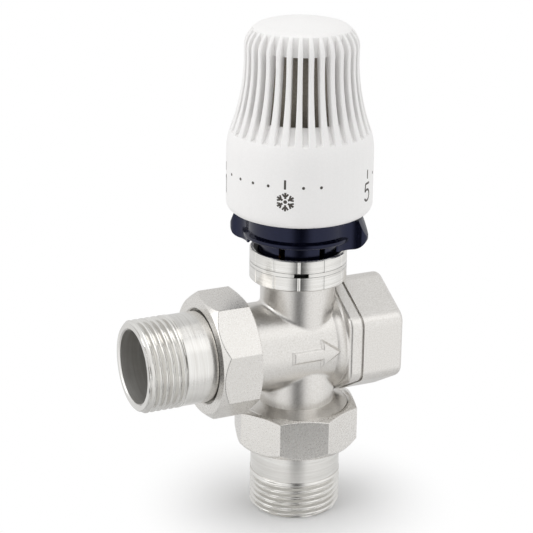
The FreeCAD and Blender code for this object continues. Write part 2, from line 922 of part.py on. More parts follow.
def bonnet():
    """The screwed-in insert: guide bore, seal pocket, spring pocket and a hexagon on top."""
    groove_half = d.bonnet_seal_section + d.seal_gap
    groove_floor = d.bonnet_thread_radius - groove_half * 2
    round_part = turned("bonnet_round", [
        (stem_bore, bonnet_bottom),
        (d.bonnet_thread_radius, bonnet_bottom),
        (d.bonnet_thread_radius, bonnet_seal_centre - groove_half),
        (groove_floor, bonnet_seal_centre - groove_half),
        (groove_floor, bonnet_seal_centre + groove_half),
        (d.bonnet_thread_radius, bonnet_seal_centre + groove_half),
        (d.bonnet_thread_radius, bonnet_ledge),
        (bonnet_flange_radius, bonnet_ledge),
        (bonnet_flange_radius, flange_top),
        (spring_pocket, flange_top),
        (spring_pocket, gland_floor),
        (seal_pocket, gland_floor),
        (seal_pocket, seal_floor),
        (stem_bore, seal_floor),
    ])
    corner = corner_of_hexagon(d.bonnet_hex_flats)
    hexagon = prism("bonnet_hexagon", 6, corner, d.bonnet_hex_height)
    place(hexagon, z=flange_top)
    pocket = cylinder("bonnet_pocket", spring_pocket, d.bonnet_hex_height)
    place(pocket, z=flange_top)
    collar = joined("Cut", "bonnet_collar", hexagon, pocket)
    return fused("bonnet", [round_part, collar])


bonnet_insert = bonnet()
bonnet_o_ring = rings(
    "bonnet_o_ring",
    [bonnet_seal_centre],
    d.bonnet_thread_radius - d.bonnet_seal_section,
    d.bonnet_seal_section,
)
lower_seal_centre = seal_floor + d.stem_seal_section + d.seal_gap / 2
stem_o_rings = rings(
    "stem_o_rings",
    [lower_seal_centre, lower_seal_centre + d.stem_seal_section * 2 + d.seal_gap],
    d.stem_radius + d.seal_gap + d.stem_seal_section,
    d.stem_seal_section,
)
gland_nut = turned("gland_nut", [
    (stem_bore, gland_floor),
    (d.gland_radius, gland_floor),
    (d.gland_radius, gland_top),
    (stem_bore, gland_top),
])


# Stem, plug and return spring

lower_seal_low = chamber_floor + d.seat_clearance
plug_low = lower_seal_low + d.plug_seal_thickness
plug_high = plug_low + d.plug_height
stem_shoulder = plug_high + d.plug_seal_thickness
plug_bore = d.spigot_radius + d.stem_clearance
stem_end = lower_seal_low - d.plug_nut_height - d.stem_end_stand
clip_low = head_seat + d.clip_height
stem_tip = head_seat + d.stem_top
groove_radius = d.stem_radius - d.clip_groove_depth

stem = turned("stem", [
    (0, stem_end),
    (d.spigot_radius, stem_end),
    (d.spigot_radius, stem_shoulder),
    (d.stem_radius, stem_shoulder),
    (d.stem_radius, clip_low),
    (groove_radius, clip_low),
    (groove_radius, clip_low + d.clip_thickness),
    (d.stem_radius, clip_low + d.clip_thickness),
    (d.stem_radius, stem_tip - d.stem_chamfer),
    (d.stem_radius - d.stem_chamfer, stem_tip),
    (0, stem_tip),
])
plug_radius = d.chamber_radius - d.plug_room
rim_inner = plug_radius - d.plug_rim
valve_plug = turned("valve_plug", [
    (plug_bore, plug_low),
    (rim_inner, plug_low),
    (rim_inner, plug_low - d.rim_depth),
    (plug_radius, plug_low - d.rim_depth),
    (plug_radius, plug_high + d.rim_depth),
    (rim_inner, plug_high + d.rim_depth),
    (rim_inner, plug_high),
    (plug_bore, plug_high),
])


def plug_seal(label, low):
    """A flat rubber ring held by the plug's rim."""
    outer = rim_inner - d.seal_gap
    return turned(label, [
        (plug_bore, low),
        (outer, low),
        (outer, low + d.plug_seal_thickness),
        (plug_bore, low + d.plug_seal_thickness),
    ])


lower_plug_seal = plug_seal("lower_plug_seal", lower_seal_low)
upper_plug_seal = plug_seal("upper_plug_seal", plug_high)


def plug_nut():
    """The small hexagon nut that holds the plug and its seals on the stem."""
    low = lower_seal_low - d.plug_nut_height
    sides = prism("plug_nut_sides", 6, corner_of_hexagon(d.plug_nut_flats), d.plug_nut_height)
    place(sides, z=low)
    hole = cylinder("plug_nut_hole", plug_bore, d.plug_nut_height)
    place(hole, z=low)
    return joined("Cut", "plug_nut", sides, hole)


plug_nut_piece = plug_nut()
washer_radius = d.gland_radius - d.washer_room
spring_washer = turned("spring_washer", [
    (stem_bore, clip_low - d.washer_thickness),
    (washer_radius, clip_low - d.washer_thickness),
    (washer_radius, clip_low),
    (stem_bore, clip_low),
])


def stem_clip():
    """The open clip in the stem's groove, above the spring washer."""
    clip_bore = groove_radius + d.stem_clearance
    body = turned("stem_clip", [
        (clip_bore, clip_low),
        (d.clip_radius, clip_low),
        (d.clip_radius, clip_low + d.clip_thickness),
        (clip_bore, clip_low + d.clip_thickness),
    ])
    cut_slot(body, "stem_clip_mouth", [
        (0, clip_low),
        (d.clip_radius * 2, clip_low),
        (d.clip_radius * 2, clip_low + d.clip_thickness),
        (0, clip_low + d.clip_thickness),
    ], d.clip_mouth)
    return body


stem_clip_piece = stem_clip()
return_spring = coil(
    "return_spring",
    d.return_coil_radius,
    d.return_wire_radius,
    d.return_turns,
    gland_top,
    clip_low - d.washer_thickness,
)


# Head collar nut and snap ring

collet_radius = head_thread_radius - d.collet_step
collar_bore = head_thread_radius + d.thread_clearance
collar_radius = collar_bore + d.collar_wall
collar_low = head_seat - d.collar_drop
collar_top = collar_low + d.collar_height
lip_low = head_seat + d.collet_flange + d.turning_gap
snap_centre = head_seat - d.snap_groove_drop
snap_floor = collar_radius - d.snap_groove_depth


def collar_nut():
    """The nut that pulls the head base down, with shallow upright flutes round it."""
    lip_bore = collet_radius + d.loose_gap
    body = turned("collar_nut", [
        (collar_bore, collar_low),
        (collar_radius - d.collar_edge, collar_low),
        (collar_radius, collar_low + d.collar_edge),
        (collar_radius, snap_centre - d.snap_groove_width / 2),
        (snap_floor, snap_centre - d.snap_groove_width / 2),
        (snap_floor, snap_centre + d.snap_groove_width / 2),
        (collar_radius, snap_centre + d.snap_groove_width / 2),
        (collar_radius, collar_top - d.collar_edge),
        (collar_radius - d.collar_edge, collar_top),
        (collar_radius - d.collar_cup_rim, collar_top),
        (lip_bore, lip_low + d.collar_lip_thickness),
        (lip_bore, lip_low),
        (collar_bore, lip_low),
    ])
    flute_floor = collar_radius - d.flute_depth
    flute = cut_slot(body, "collar_flute", [
        (flute_floor, collar_low),
        (collar_radius + d.flute_depth, collar_low),
        (collar_radius + d.flute_depth, collar_top),
        (flute_floor, collar_top),
    ], d.flute_width)
    repeat_round(body, flute, d.collar_flutes)
    return place(body, turn=d.flute_turn)


collar_nut_piece = collar_nut()


def snap_ring():
    """The open spring ring in the collar's groove."""
    inner = snap_floor + d.seal_gap
    low = snap_centre - d.snap_ring_height / 2
    high = snap_centre + d.snap_ring_height / 2
    body = turned("collar_snap_ring", [
        (inner, low),
        (inner + d.snap_ring_thickness, low),
        (inner + d.snap_ring_thickness, high),
        (inner, high),
    ])
    cut_slot(body, "snap_ring_mouth", [
        (0, low),
        (collar_radius * 2, low),
        (collar_radius * 2, high),
        (0, high),
    ], d.snap_ring_gap)
    return place(body, turn=d.snap_ring_turn)


collar_snap_ring = snap_ring()


# Head base, with collet fingers below and a threaded sleeve above

plate_low = head_seat + d.base_plate_height
plate_top = plate_low + d.base_plate_thickness
ring_seat_low = head_seat + d.ring_seat_height
ring_seat_top = ring_seat_low + d.ring_seat_length
ring_seat_radius = collet_radius + d.ring_seat_reach
base_thread_radius = ring_seat_radius - d.ring_seat_step
sleeve_bore = base_thread_radius - d.base_sleeve_wall
sensor_radius = sleeve_bore - d.sensor_room
sleeve_top = head_seat + d.base_sleeve_height
guide_bore = d.cup_radius + d.guide_clearance
guide_top = plate_top + d.guide_tube_height
ring_low = ring_seat_low - d.turning_gap - d.ring_floor
stop_inner = base_thread_radius + d.loose_gap
stop_outer = stop_inner + d.stop_height
lug_top = ring_seat_top + d.stop_lug_height
wing_low = ring_low - d.wing_drop
wing_top = wing_low + d.wing_height
drum_bore = ring_seat_radius + d.thread_clearance
drum_radius = drum_bore + d.drum_wall
band_radius = drum_radius + d.cap_room + d.band_wall + d.cap_foot


def head_base():
    """The fixed base of the head: fingers, ring seat, guide tube and threaded sleeve."""
    collet_bore = collet_radius - d.collet_wall
    flange = head_thread_radius - d.collet_flange_inset
    bead_low = ring_low - d.turning_gap - d.collet_bead * 2
    guide_outer = guide_bore + d.guide_tube_wall
    body = turned("head_base", [
        (collet_bore, head_seat),
        (flange, head_seat),
        (flange, head_seat + d.collet_flange),
        (collet_radius, head_seat + d.collet_flange),
        (collet_radius, bead_low),
        (collet_radius + d.collet_bead, bead_low + d.collet_bead),
        (collet_radius + d.collet_bead, bead_low + d.collet_bead * 2),
        (collet_radius, bead_low + d.collet_bead * 2),
        (collet_radius, ring_seat_low),
        (ring_seat_radius, ring_seat_low),
        (ring_seat_radius, ring_seat_top),
        (base_thread_radius, ring_seat_top),
        (base_thread_radius, sleeve_top),
        (sleeve_bore, sleeve_top),
        (sleeve_bore, plate_top),
        (guide_outer, plate_top),
        (guide_outer, guide_top),
        (guide_bore, guide_top),
        (guide_bore, plate_top),
        (d.pusher_radius + d.guide_clearance, plate_top),
        (d.pusher_radius + d.guide_clearance, plate_low),
        (collet_bore, plate_low),
    ])
    gap = cut_slot(body, "finger_gap", [
        (collet_bore - d.collet_wall, head_seat + d.finger_gap_low),
        (collet_radius + d.collet_wall, head_seat + d.finger_gap_low),
        (collet_radius + d.collet_wall, head_seat + d.finger_gap_high),
        (collet_bore - d.collet_wall, head_seat + d.finger_gap_high),
    ], d.finger_gap)
    repeat_round(body, gap, d.collet_fingers)
    keyway_floor = sleeve_bore + d.key_depth + d.key_gap
    keyway = cut_slot(body, "keyway", [
        (guide_outer + d.loose_gap, guide_top),
        (keyway_floor, guide_top),
        (keyway_floor, sleeve_top),
        (guide_outer + d.loose_gap, sleeve_top),
    ], d.key_width + d.key_gap * 2)
    repeat_round(body, keyway, 2)
    lug_start = d.stop_turn - d.collet_turn
    lug_radii = (base_thread_radius - d.loose_gap, stop_outer)
    pad_sector(body, "stop_lug", lug_radii, (lug_start, d.stop_lug), ring_seat_top, lug_top)
    return place(body, turn=d.collet_turn)


head_base_piece = head_base()


# Locking ring


def locking_ring():
    """A drum that turns on the base, with a bead at its foot and two thumb wings."""
    bead_radius = drum_radius + d.bead_reach
    ring_top = ring_seat_top - d.drum_drop
    body = turned("locking_ring", [
        (collet_radius + d.loose_gap, ring_low),
        (bead_radius - d.bead_edge, ring_low),
        (bead_radius, ring_low + d.bead_edge, d.bead_edge, 1),
        (bead_radius, ring_low + d.bead_height - d.bead_edge),
        (drum_radius, ring_low + d.bead_height),
        (drum_radius, ring_top),
        (drum_bore, ring_top),
        (drum_bore, ring_low + d.ring_floor),
        (collet_radius + d.loose_gap, ring_low + d.ring_floor),
    ])
    tip = d.wing_width / 2
    tip_centre = d.wing_reach - tip
    drum_far = drum_radius + d.wing_blend
    tip_far = tip + d.wing_blend
    squares = drum_far * drum_far - tip_far * tip_far + tip_centre * tip_centre
    blend_x = squares / tip_centre / 2
    blend_y = root(drum_far * drum_far - blend_x * blend_x)
    foot_x = blend_x * drum_radius / drum_far
    foot_y = blend_y * drum_radius / drum_far
    side_x = tip_centre + (blend_x - tip_centre) * tip / tip_far
    side_y = blend_y * tip / tip_far
    inside = drum_bore + d.turning_gap
    wing_plan = outline(body, "wing_plan", [
        (inside, -foot_y),
        (foot_x, -foot_y),
        (side_x, -side_y, d.wing_blend, -1),
        (d.wing_reach, 0, tip, 1),
        (side_x, side_y, tip, 1),
        (foot_x, foot_y, d.wing_blend, -1),
        (inside, foot_y),
    ], plane="XY_Plane")
    lift_sketch(wing_plan, wing_low)
    wing = body.newObject("PartDesign::Pad", "wing")
    wing.Profile = wing_plan
    set_size(wing, "Length", d.wing_height)
    repeat_round(body, wing, 2)
    beyond = d.wing_reach + d.wing_lean
    groove(body, "wing_edge", [
        (beyond, wing_low),
        (beyond, wing_top),
        (d.wing_reach - d.wing_lean, wing_top),
        (d.wing_reach, wing_low + d.wing_corner),
        (d.wing_reach - d.wing_corner, wing_low, d.wing_corner, -1),
    ])
    return place(body, turn=d.wing_turn)


locking_ring_piece = locking_ring()


# Heights of the sensor group

cup_low = plate_top + d.cup_stand
cup_top = cup_low + d.cup_length
carrier_low = cup_top - d.carrier_floor
carrier_top = cup_top + d.sensor_foot_length
sensor_top = cup_top + d.sensor_height
sensor_foot_radius = sensor_radius - d.sensor_foot_step


# Handwheel


def handwheel():
    """The ribbed cap: dial band, slotted ribs, threaded hub and a boss that pushes the sensor."""
    cap_bottom = wing_top + d.cap_stand
    mouth_radius = band_radius - d.cap_foot
    foot_top = cap_bottom + d.cap_foot
    band_top = head_seat + d.band_top
    shoulder = head_seat + d.shoulder_height
    crown = sensor_top + d.crown_stand
    waist = crown - d.waist_drop
    cap_top = crown + d.dome_rise
    shoulder_radius = band_radius - d.shoulder_inset
    band_inner = band_radius - d.band_wall
    hub_bore = base_thread_radius + d.thread_clearance
    hub_outer = hub_bore + d.hub_wall
    hub_low = lug_top + d.hub_stand
    inset = d.rib_depth + d.cap_wall
    boss_low = sensor_top + d.pusher_gap
    dome_arc = (d.crown_radius * d.crown_radius / d.dome_rise + d.dome_rise) / 2
    body = turned("handwheel", [
        (mouth_radius, cap_bottom),
        (band_radius, foot_top, d.cap_foot, 1),
        (band_radius, band_top),
        (shoulder_radius, shoulder, d.shoulder_arc, 1),
        (d.waist_radius, waist, d.waist_arc, -1),
        (d.crown_radius, crown, d.crown_arc, 1),
        (0, cap_top, dome_arc, 1),
        (0, boss_low),
        (d.cap_boss_radius, boss_low),
        (d.cap_boss_radius, crown - d.cap_wall),
        (d.crown_radius - inset, crown - inset),
        (d.waist_radius - inset, waist),
        (shoulder_radius - inset, shoulder),
        (band_inner, band_top),
        (hub_bore, band_top),
        (hub_bore, hub_low),
        (hub_outer, hub_low),
        (hub_outer, band_top - d.hub_web),
        (band_inner, band_top - d.hub_web),
        (band_inner, foot_top),
        (mouth_radius - d.band_wall, cap_bottom),
    ])
    slot_inner = d.waist_radius - inset - d.cap_wall
    slot_low = head_seat + d.slot_low
    slot_high = waist - d.slot_end_drop
    gap = cut_slot(body, "rib_gap", [
        (band_radius, head_seat + d.rib_gap_low),
        (band_radius, cap_top),
        (d.rib_end_radius, cap_top),
        (d.waist_radius - d.rib_depth, slot_high),
        (slot_inner, slot_high),
        (slot_inner, slot_low),
        (d.slot_foot_radius, slot_low),
        (shoulder_radius, head_seat + d.rib_gap_low),
    ], d.rib_gap)
    repeat_round(body, gap, d.rib_count)
    nib_start = d.stop_turn + d.stop_lug + d.stop_play - d.rib_turn
    nib_low = ring_seat_top + d.loose_gap
    pad_sector(body, "stop_nib", (stop_inner, stop_outer), (nib_start, d.stop_nib), nib_low, hub_low)
    return place(body, turn=d.rib_turn)


handwheel_piece = handwheel()


# Sensor, carrier, overtravel spring and pusher

sensor_capsule = turned("sensor_capsule", [
    (0, cup_top),
    (sensor_foot_radius, cup_top),
    (sensor_foot_radius, carrier_top),
    (sensor_radius, carrier_top),
    (sensor_radius, sensor_top - d.sensor_edge),
    (sensor_radius - d.sensor_edge, sensor_top),
    (0, sensor_top),
])


def sensor_carrier():
    """The cup under the sensor, with two keys that run in the base's keyways."""
    outer = sleeve_bore - d.carrier_gap
    foot_bore = sensor_foot_radius + d.guide_clearance
    cup_hole = d.cup_radius + d.carrier_gap
    body = turned("sensor_carrier", [
        (cup_hole, carrier_low),
        (outer, carrier_low),
        (outer, carrier_top),
        (foot_bore, carrier_top),
        (foot_bore, cup_top),
        (cup_hole, cup_top),
    ])
    key = pad_slab(body, "key", [
        (foot_bore + d.carrier_gap, carrier_low),
        (sleeve_bore + d.key_depth, carrier_low),
        (sleeve_bore + d.key_depth, carrier_top),
        (foot_bore + d.carrier_gap, carrier_top),
    ], d.key_width)
    repeat_round(body, key, 2)
    return place(body, turn=d.collet_turn)


sensor_carrier_piece = sensor_carrier()
pusher_seat = cup_low + d.cup_floor
pusher_top = pusher_seat + d.pusher_flange
cup_bore = d.cup_radius - d.cup_wall
spring_cup = turned("spring_cup", [
    (d.pusher_radius + d.guide_clearance, cup_low),
    (d.cup_radius, cup_low),
    (d.cup_radius, cup_top),
    (0, cup_top),
    (0, cup_top - d.cup_floor),
    (cup_bore, cup_top - d.cup_floor),
    (cup_bore, pusher_seat),
    (d.pusher_radius + d.guide_clearance, pusher_seat),
])
pusher = turned("pusher", [
    (0, stem_tip + d.pusher_gap),
    (d.pusher_radius, stem_tip + d.pusher_gap),
    (d.pusher_radius, pusher_seat),
    (cup_bore - d.carrier_gap, pusher_seat),
    (cup_bore - d.carrier_gap, pusher_top),
    (0, pusher_top),
])
overtravel_spring = coil(
    "overtravel_spring",
    cup_bore - d.over_coil_room - d.over_wire_radius,
    d.over_wire_radius,
    d.over_turns,
    pusher_top,
    cup_top - d.cup_floor,
)


# Check every object, then write one file for each piece

PIECES = [
    valve_body, lower_seat_ring,
    left_tailpiece, left_union_gasket, left_union_nut,
    bottom_tailpiece, bottom_union_gasket, bottom_union_nut,
    bonnet_insert, bonnet_o_ring, stem_o_rings, gland_nut,
    stem, valve_plug, upper_plug_seal, lower_plug_seal, plug_nut_piece,
    return_spring, spring_washer, stem_clip_piece,
    collar_nut_piece, collar_snap_ring, head_base_piece, locking_ring_piece,
    sensor_capsule, sensor_carrier_piece, spring_cup, overtravel_spring, pusher,
    handwheel_piece,
]
doc.recompute()
for thing in doc.Objects:
    faults = [state for state in thing.State if state in ("Invalid", "Error")]
    if faults:
        raise RuntimeError(f"{thing.Label} is {faults}: {thing.getStatusString()}")
for piece in PIECES:
    if piece.Shape.isNull() or not piece.Shape.isValid() or not piece.Shape.Solids:
        raise RuntimeError(f"{piece.Label} has no valid solid")
for piece in PIECES:
    piece.Shape.exportStep(f"parts/{piece.Label}.step")
    volume = piece.Shape.Volume / 1000
    print(f"{piece.Label}: {len(piece.Shape.Solids)} solid, {volume:.2f} cubic cm")
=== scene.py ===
# %% [markdown]
# # A three-way thermostatic valve
# A nickel-plated brass valve stands on its bottom union. A second union points left, a
# hexagonal end with a female pipe thread points right, and a white sensor head works the
# stem from above. The solids come from CAD, so this lesson only dresses them: it remakes the
# pieces whose detail a solid leaves out (threads, rounded ribs, dial print) and gives every
# piece a finish that follows how the real one was made.

# %% Load the frame
import math

import bpy
import numpy as np
from mathutils import Matrix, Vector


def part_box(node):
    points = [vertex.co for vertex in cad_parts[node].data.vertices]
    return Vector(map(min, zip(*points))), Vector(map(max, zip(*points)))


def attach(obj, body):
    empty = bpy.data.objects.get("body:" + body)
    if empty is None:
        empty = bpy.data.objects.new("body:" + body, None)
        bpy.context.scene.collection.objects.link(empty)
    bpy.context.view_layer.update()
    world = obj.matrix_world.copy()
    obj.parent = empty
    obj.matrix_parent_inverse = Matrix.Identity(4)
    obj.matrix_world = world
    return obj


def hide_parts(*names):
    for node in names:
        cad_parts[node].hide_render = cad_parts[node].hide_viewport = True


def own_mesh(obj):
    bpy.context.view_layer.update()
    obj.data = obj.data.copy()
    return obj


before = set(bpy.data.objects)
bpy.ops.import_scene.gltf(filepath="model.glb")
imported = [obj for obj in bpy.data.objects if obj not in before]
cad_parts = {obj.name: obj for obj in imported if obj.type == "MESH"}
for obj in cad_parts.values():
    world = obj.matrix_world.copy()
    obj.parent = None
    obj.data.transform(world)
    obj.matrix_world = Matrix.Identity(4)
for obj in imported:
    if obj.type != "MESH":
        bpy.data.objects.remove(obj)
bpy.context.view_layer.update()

scene = bpy.context.scene

# %% [markdown]
# ## Small helpers
# Sizes are easier to read in millimetres, and colours as the hex values of a paint chart, so
# two helpers translate them. A third adds one shader node at a time: settings are properties
# of the node, and each socket gets either a number or another node's output.

# %% Units, colours and nodes
MM = 0.001


def linear(code):
    """Linear RGBA of an sRGB hex colour, each channel taken through the sRGB curve."""
    channels = np.array([int(code[i:i + 2], 16) for i in (1, 3, 5)]) / 255.0
    low = channels / 12.92
    high = ((channels + 0.055) / 1.055) ** 2.4
    return (*np.where(channels <= 0.04045, low, high).tolist(), 1.0)


def per_mm(size):
    """Texture scale at which one feature of a pattern is this many millimetres wide."""
    return 1.0 / (size * MM)


def add(tree, kind, sockets=(), **settings):
    """Add a node, set its properties, then set or link its sockets by name or number."""
    node = tree.nodes.new(kind)
    for name, value in settings.items():
        setattr(node, name, value)
    for socket, value in dict(sockets).items():
        if isinstance(value, bpy.types.NodeSocket):
            tree.links.new(value, node.inputs[socket])
        else:
            node.inputs[socket].default_value = value
    return node


print("nickel grey is", [round(v, 3) for v in linear("#D9D6D1")[:3]])

# %% [markdown]
# A finish starts the same way each time: a Principled shader on an output, and Object
# coordinates, which are the part's own place because every piece sits at the origin. A
# pattern between two tones is common too: a colour ramp reads the pattern's height. A noise
# seldom leaves the middle of its range, so only that middle is spread between the two ends.

# %% Start of a finish
FINISHES = {}
PATTERN_LOW, PATTERN_HIGH = 0.3, 0.7


def start_finish(name):
    """A new material with its Principled shader and the Object coordinates to draw on."""
    finish = bpy.data.materials.new(name)
    finish.use_nodes = True
    tree = finish.node_tree
    tree.nodes.clear()
    shader = add(tree, "ShaderNodeBsdfPrincipled")
    add(tree, "ShaderNodeOutputMaterial", {"Surface": shader.outputs["BSDF"]})
    place = add(tree, "ShaderNodeTexCoord").outputs["Object"]
    return finish, tree, shader, place


def colour_by(tree, shader, height, low, high):
    """Colour the shader between two tones, low tone where the pattern's height is small."""
    ramp = add(tree, "ShaderNodeValToRGB", {"Fac": height})
    ends = ramp.color_ramp.elements
    ends[0].position, ends[0].color = PATTERN_LOW, linear(low)
    ends[1].position, ends[1].color = PATTERN_HIGH, linear(high)
    tree.links.new(ramp.outputs["Color"], shader.inputs["Base Color"])
    return ramp.outputs["Color"]


def roughen_by(tree, shader, height, low, high):
    """Roughness that runs from low to high with the pattern's height."""
    span = add(tree, "ShaderNodeMapRange", {
        "Value": height, "From Min": PATTERN_LOW, "From Max": PATTERN_HIGH,
        "To Min": low, "To Max": high})
    tree.links.new(span.outputs["Result"], shader.inputs["Roughness"])
    return span.outputs["Result"]


def raise_by(tree, shader, height, depth):
    """Bump whose full height is depth millimetres."""
    bump = add(tree, "ShaderNodeBump", {
        "Height": height, "Distance": depth * MM, "Strength": 1.0})
    tree.links.new(bump.outputs["Normal"], shader.inputs["Normal"])


print("patterns are spread from", PATTERN_LOW, "to", PATTERN_HIGH)

# %% [markdown]
# ## Sandblasted nickel
# The body is a brass casting that was sandblasted and then nickel plated. Blasting leaves
# pits a few tenths of a millimetre wide, so the metal looks soft rather than mirror-like, with
# a sparkle of fine grain. The pits are drawn at half a millimetre, a little coarser than
# real, or they would vanish at this distance.

# %% Sandblasted nickel


def blasted_nickel(name, grit, depth, smooth, rough):
    """Plated casting: one noise of the given grit in mm drives tone, roughness and bump."""
    finish, tree, shader, place = start_finish(name)
    grain = add(tree, "ShaderNodeTexNoise", {
        "Vector": place, "Scale": per_mm(grit), "Detail": 3.0, "Roughness": 0.6}).outputs["Fac"]
    colour_by(tree, shader, grain, "#D6D3CE", "#ECEAE7")
    roughen_by(tree, shader, grain, smooth, rough)
    raise_by(tree, shader, grain, depth)
    shader.inputs["Metallic"].default_value = 1.0
    return finish


FINISHES["sandblasted_nickel"] = blasted_nickel(
    "sandblasted_nickel", grit=0.5, depth=0.014, smooth=0.28, rough=0.38)
print("made", FINISHES["sandblasted_nickel"].name)

# %% [markdown]
# ## Turned nickel
# The tailpieces and the collar were turned on a lathe before plating. The tool leaves hair
# lines that run round the axis. A noise gives them when its coordinates are squeezed in every
# direction but the axis, which draws its grains out into lines. The metal between the lines is
# bright. Within a given radius, in the bores and deep cuts, the metal is rougher, and its colour
# is darkened there as painted shade.

# %% Turned nickel
BORE, BORE_EDGE, BORE_ROUGHNESS = 13.25, (0.1, 0.3), 0.3
TOOL_LINE, LINE_DEPTH, SQUEEZE = 0.6, 0.005, 0.03
TURNED_SMOOTH, TURNED_ROUGH = 0.17, 0.26
# TAIL_SHADE and COLLAR_SHADE are painted shade: the colour inside each bore is scaled by them.
COLLAR_BORE, COLLAR_SHADE, TAIL_SHADE = 15.9, 0.06, 0.9
port_height = (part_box("left_tailpiece")[0].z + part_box("left_tailpiece")[1].z) / 2 / MM


def turned_nickel(name, axis, axis_height, bore, bore_shade):
    """Tool lines from a noise that varies mostly along the axis; rough in the bore, with painted
    shade darkening its colour there.
    """
    finish, tree, shader, place = start_finish(name)
    along = np.array([letter == axis for letter in "xyz"], float)
    squeezed = add(tree, "ShaderNodeMapping", {
        "Vector": place, "Scale": SQUEEZE + (1 - SQUEEZE) * along})
    lines = add(tree, "ShaderNodeTexNoise", {
        "Vector": squeezed.outputs["Vector"], "Scale": per_mm(TOOL_LINE),
        "Detail": 2.0}).outputs["Fac"]
    plating = colour_by(tree, shader, lines, "#DCDAD6", "#ECEBE8")
    sheen = roughen_by(tree, shader, lines, TURNED_SMOOTH, TURNED_ROUGH)
    raise_by(tree, shader, lines, LINE_DEPTH)
    across = add(tree, "ShaderNodeMapping", {
        "Vector": place, "Location": (0, 0, -axis_height * MM), "Scale": 1 - along})
    radius = add(tree, "ShaderNodeVectorMath", {0: across.outputs["Vector"]}, operation="LENGTH")
    edge = {"Value": radius.outputs["Value"],
            "From Min": (bore + BORE_EDGE[0]) * MM, "From Max": (bore + BORE_EDGE[1]) * MM}
    bored = add(tree, "ShaderNodeMapRange", {**edge, "To Min": BORE_ROUGHNESS, "To Max": 0.0})
    # Painted shade: the colour is scaled down inside the bore.
    tone = add(tree, "ShaderNodeMapRange", {**edge, "To Min": bore_shade, "To Max": 1.0})
    darker = add(tree, "ShaderNodeVectorMath", {
        0: plating, "Scale": tone.outputs["Result"]}, operation="SCALE")
    tree.links.new(darker.outputs["Vector"], shader.inputs["Base Color"])
    rougher = add(tree, "ShaderNodeMath", {0: bored.outputs["Result"], 1: sheen})
    tree.links.new(rougher.outputs[0], shader.inputs["Roughness"])
    shader.inputs["Metallic"].default_value = 1.0
    return finish


FINISHES["turned_nickel_across"] = turned_nickel(
    "turned_nickel_across", "x", port_height, BORE, TAIL_SHADE)
FINISHES["turned_nickel_upright"] = turned_nickel(
    "turned_nickel_upright", "z", 0.0, BORE, TAIL_SHADE)
FINISHES["turned_nickel_collar"] = turned_nickel(
    "turned_nickel_collar", "z", 0.0, COLLAR_BORE, COLLAR_SHADE)
print("made", sorted(FINISHES))

# %% [markdown]
# ## Forged nickel for the nuts
# The eight-sided nuts are forged, then only their bores are cut. Their flats keep a finer
# blasted skin than the body, with deeper pits and a little more gloss, so each flat sparkles and
# still catches the light as a whole.

# %% Forged nickel
FINISHES["forged_nickel"] = blasted_nickel(
    "forged_nickel", grit=0.45, depth=0.024, smooth=0.24, rough=0.34)
print("made", FINISHES["forged_nickel"].name)

# %% [markdown]
# ## Brass, steel and rubber inside
# The seat ring, bonnet, gland and plug are bare turned brass. Springs, washers and the stem
# are stainless steel, drawn or ground. Gaskets and seals are black rubber, moulded against
# a matt tool. Few of them show, but they are finished all the same.

# %% Inner finishes
INNER_GRAIN, INNER_DEPTH = 0.7, 0.006


def inner_metal(name, low, high, smooth, rough):
    """Bare metal with a fine grain in its tone, roughness and bump."""
    finish, tree, shader, place = start_finish(name)
    grain = add(tree, "ShaderNodeTexNoise", {
        "Vector": place, "Scale": per_mm(INNER_GRAIN), "Detail": 3.0}).outputs["Fac"]
    colour_by(tree, shader, grain, low, high)
    roughen_by(tree, shader, grain, smooth, rough)
    raise_by(tree, shader, grain, INNER_DEPTH)
    shader.inputs["Metallic"].default_value = 1.0
    return finish


def moulded(name, low, high, smooth, rough, grain_size, depth):
    """Moulded plastic or rubber: the tool's grain, in mm, shows in tone, gloss and bump."""
    finish, tree, shader, place = start_finish(name)
    grain = add(tree, "ShaderNodeTexNoise", {
        "Vector": place, "Scale": per_mm(grain_size), "Detail": 2.0}).outputs["Fac"]
    colour_by(tree, shader, grain, low, high)
    roughen_by(tree, shader, grain, smooth, rough)
    raise_by(tree, shader, grain, depth)
    return finish


FINISHES["turned_brass"] = inner_metal(
    "turned_brass", "#B08D57", "#C9A566", smooth=0.22, rough=0.34)
FINISHES["spring_steel"] = inner_metal(
    "spring_steel", "#9C9B98", "#B8B7B4", smooth=0.22, rough=0.36)
FINISHES["moulded_rubber"] = moulded(
    "moulded_rubber", "#1B1B1B", "#262625", smooth=0.6, rough=0.8, grain_size=0.5, depth=0.02)
print("made", sorted(FINISHES))

# %% [markdown]
# ## Plastics of the head
# The cap is white ABS from a finely eroded tool, satin rather than shiny. The base and its
# locking ring are navy ABS from a polished tool, nearly black with a clear gloss. The sensor
# and its carrier, glimpsed through the cap's slots, are grey-brown filled nylon.

# %% Plastics
FINISHES["satin_white_abs"] = moulded(
    "satin_white_abs", "#F4F3F2", "#F7F6F5", smooth=0.34, rough=0.44, grain_size=0.6, depth=0.006)
FINISHES["glossy_navy_abs"] = moulded(
    "glossy_navy_abs", "#060712", "#0A0C1A", smooth=0.1, rough=0.17, grain_size=1.5, depth=0.004)
FINISHES["glossy_navy_abs"].node_tree.nodes["Principled BSDF"].inputs[
    "Specular Tint"].default_value = linear("#C0C8FF")
FINISHES["filled_nylon"] = moulded(
    "filled_nylon", "#8B8479", "#9C958A", smooth=0.45, rough=0.6, grain_size=0.8, depth=0.01)
FINISHES["dial_ink"] = moulded(
    "dial_ink", "#3F3A35", "#4A453F", smooth=0.4, rough=0.55, grain_size=0.3, depth=0.002)
print("made", sorted(FINISHES))

# %% [markdown]
# ## Dress the solids
# Each solid gets the finish of its real counterpart, also where a drawn piece takes its place
# later on. The table below also serves as a parts list.

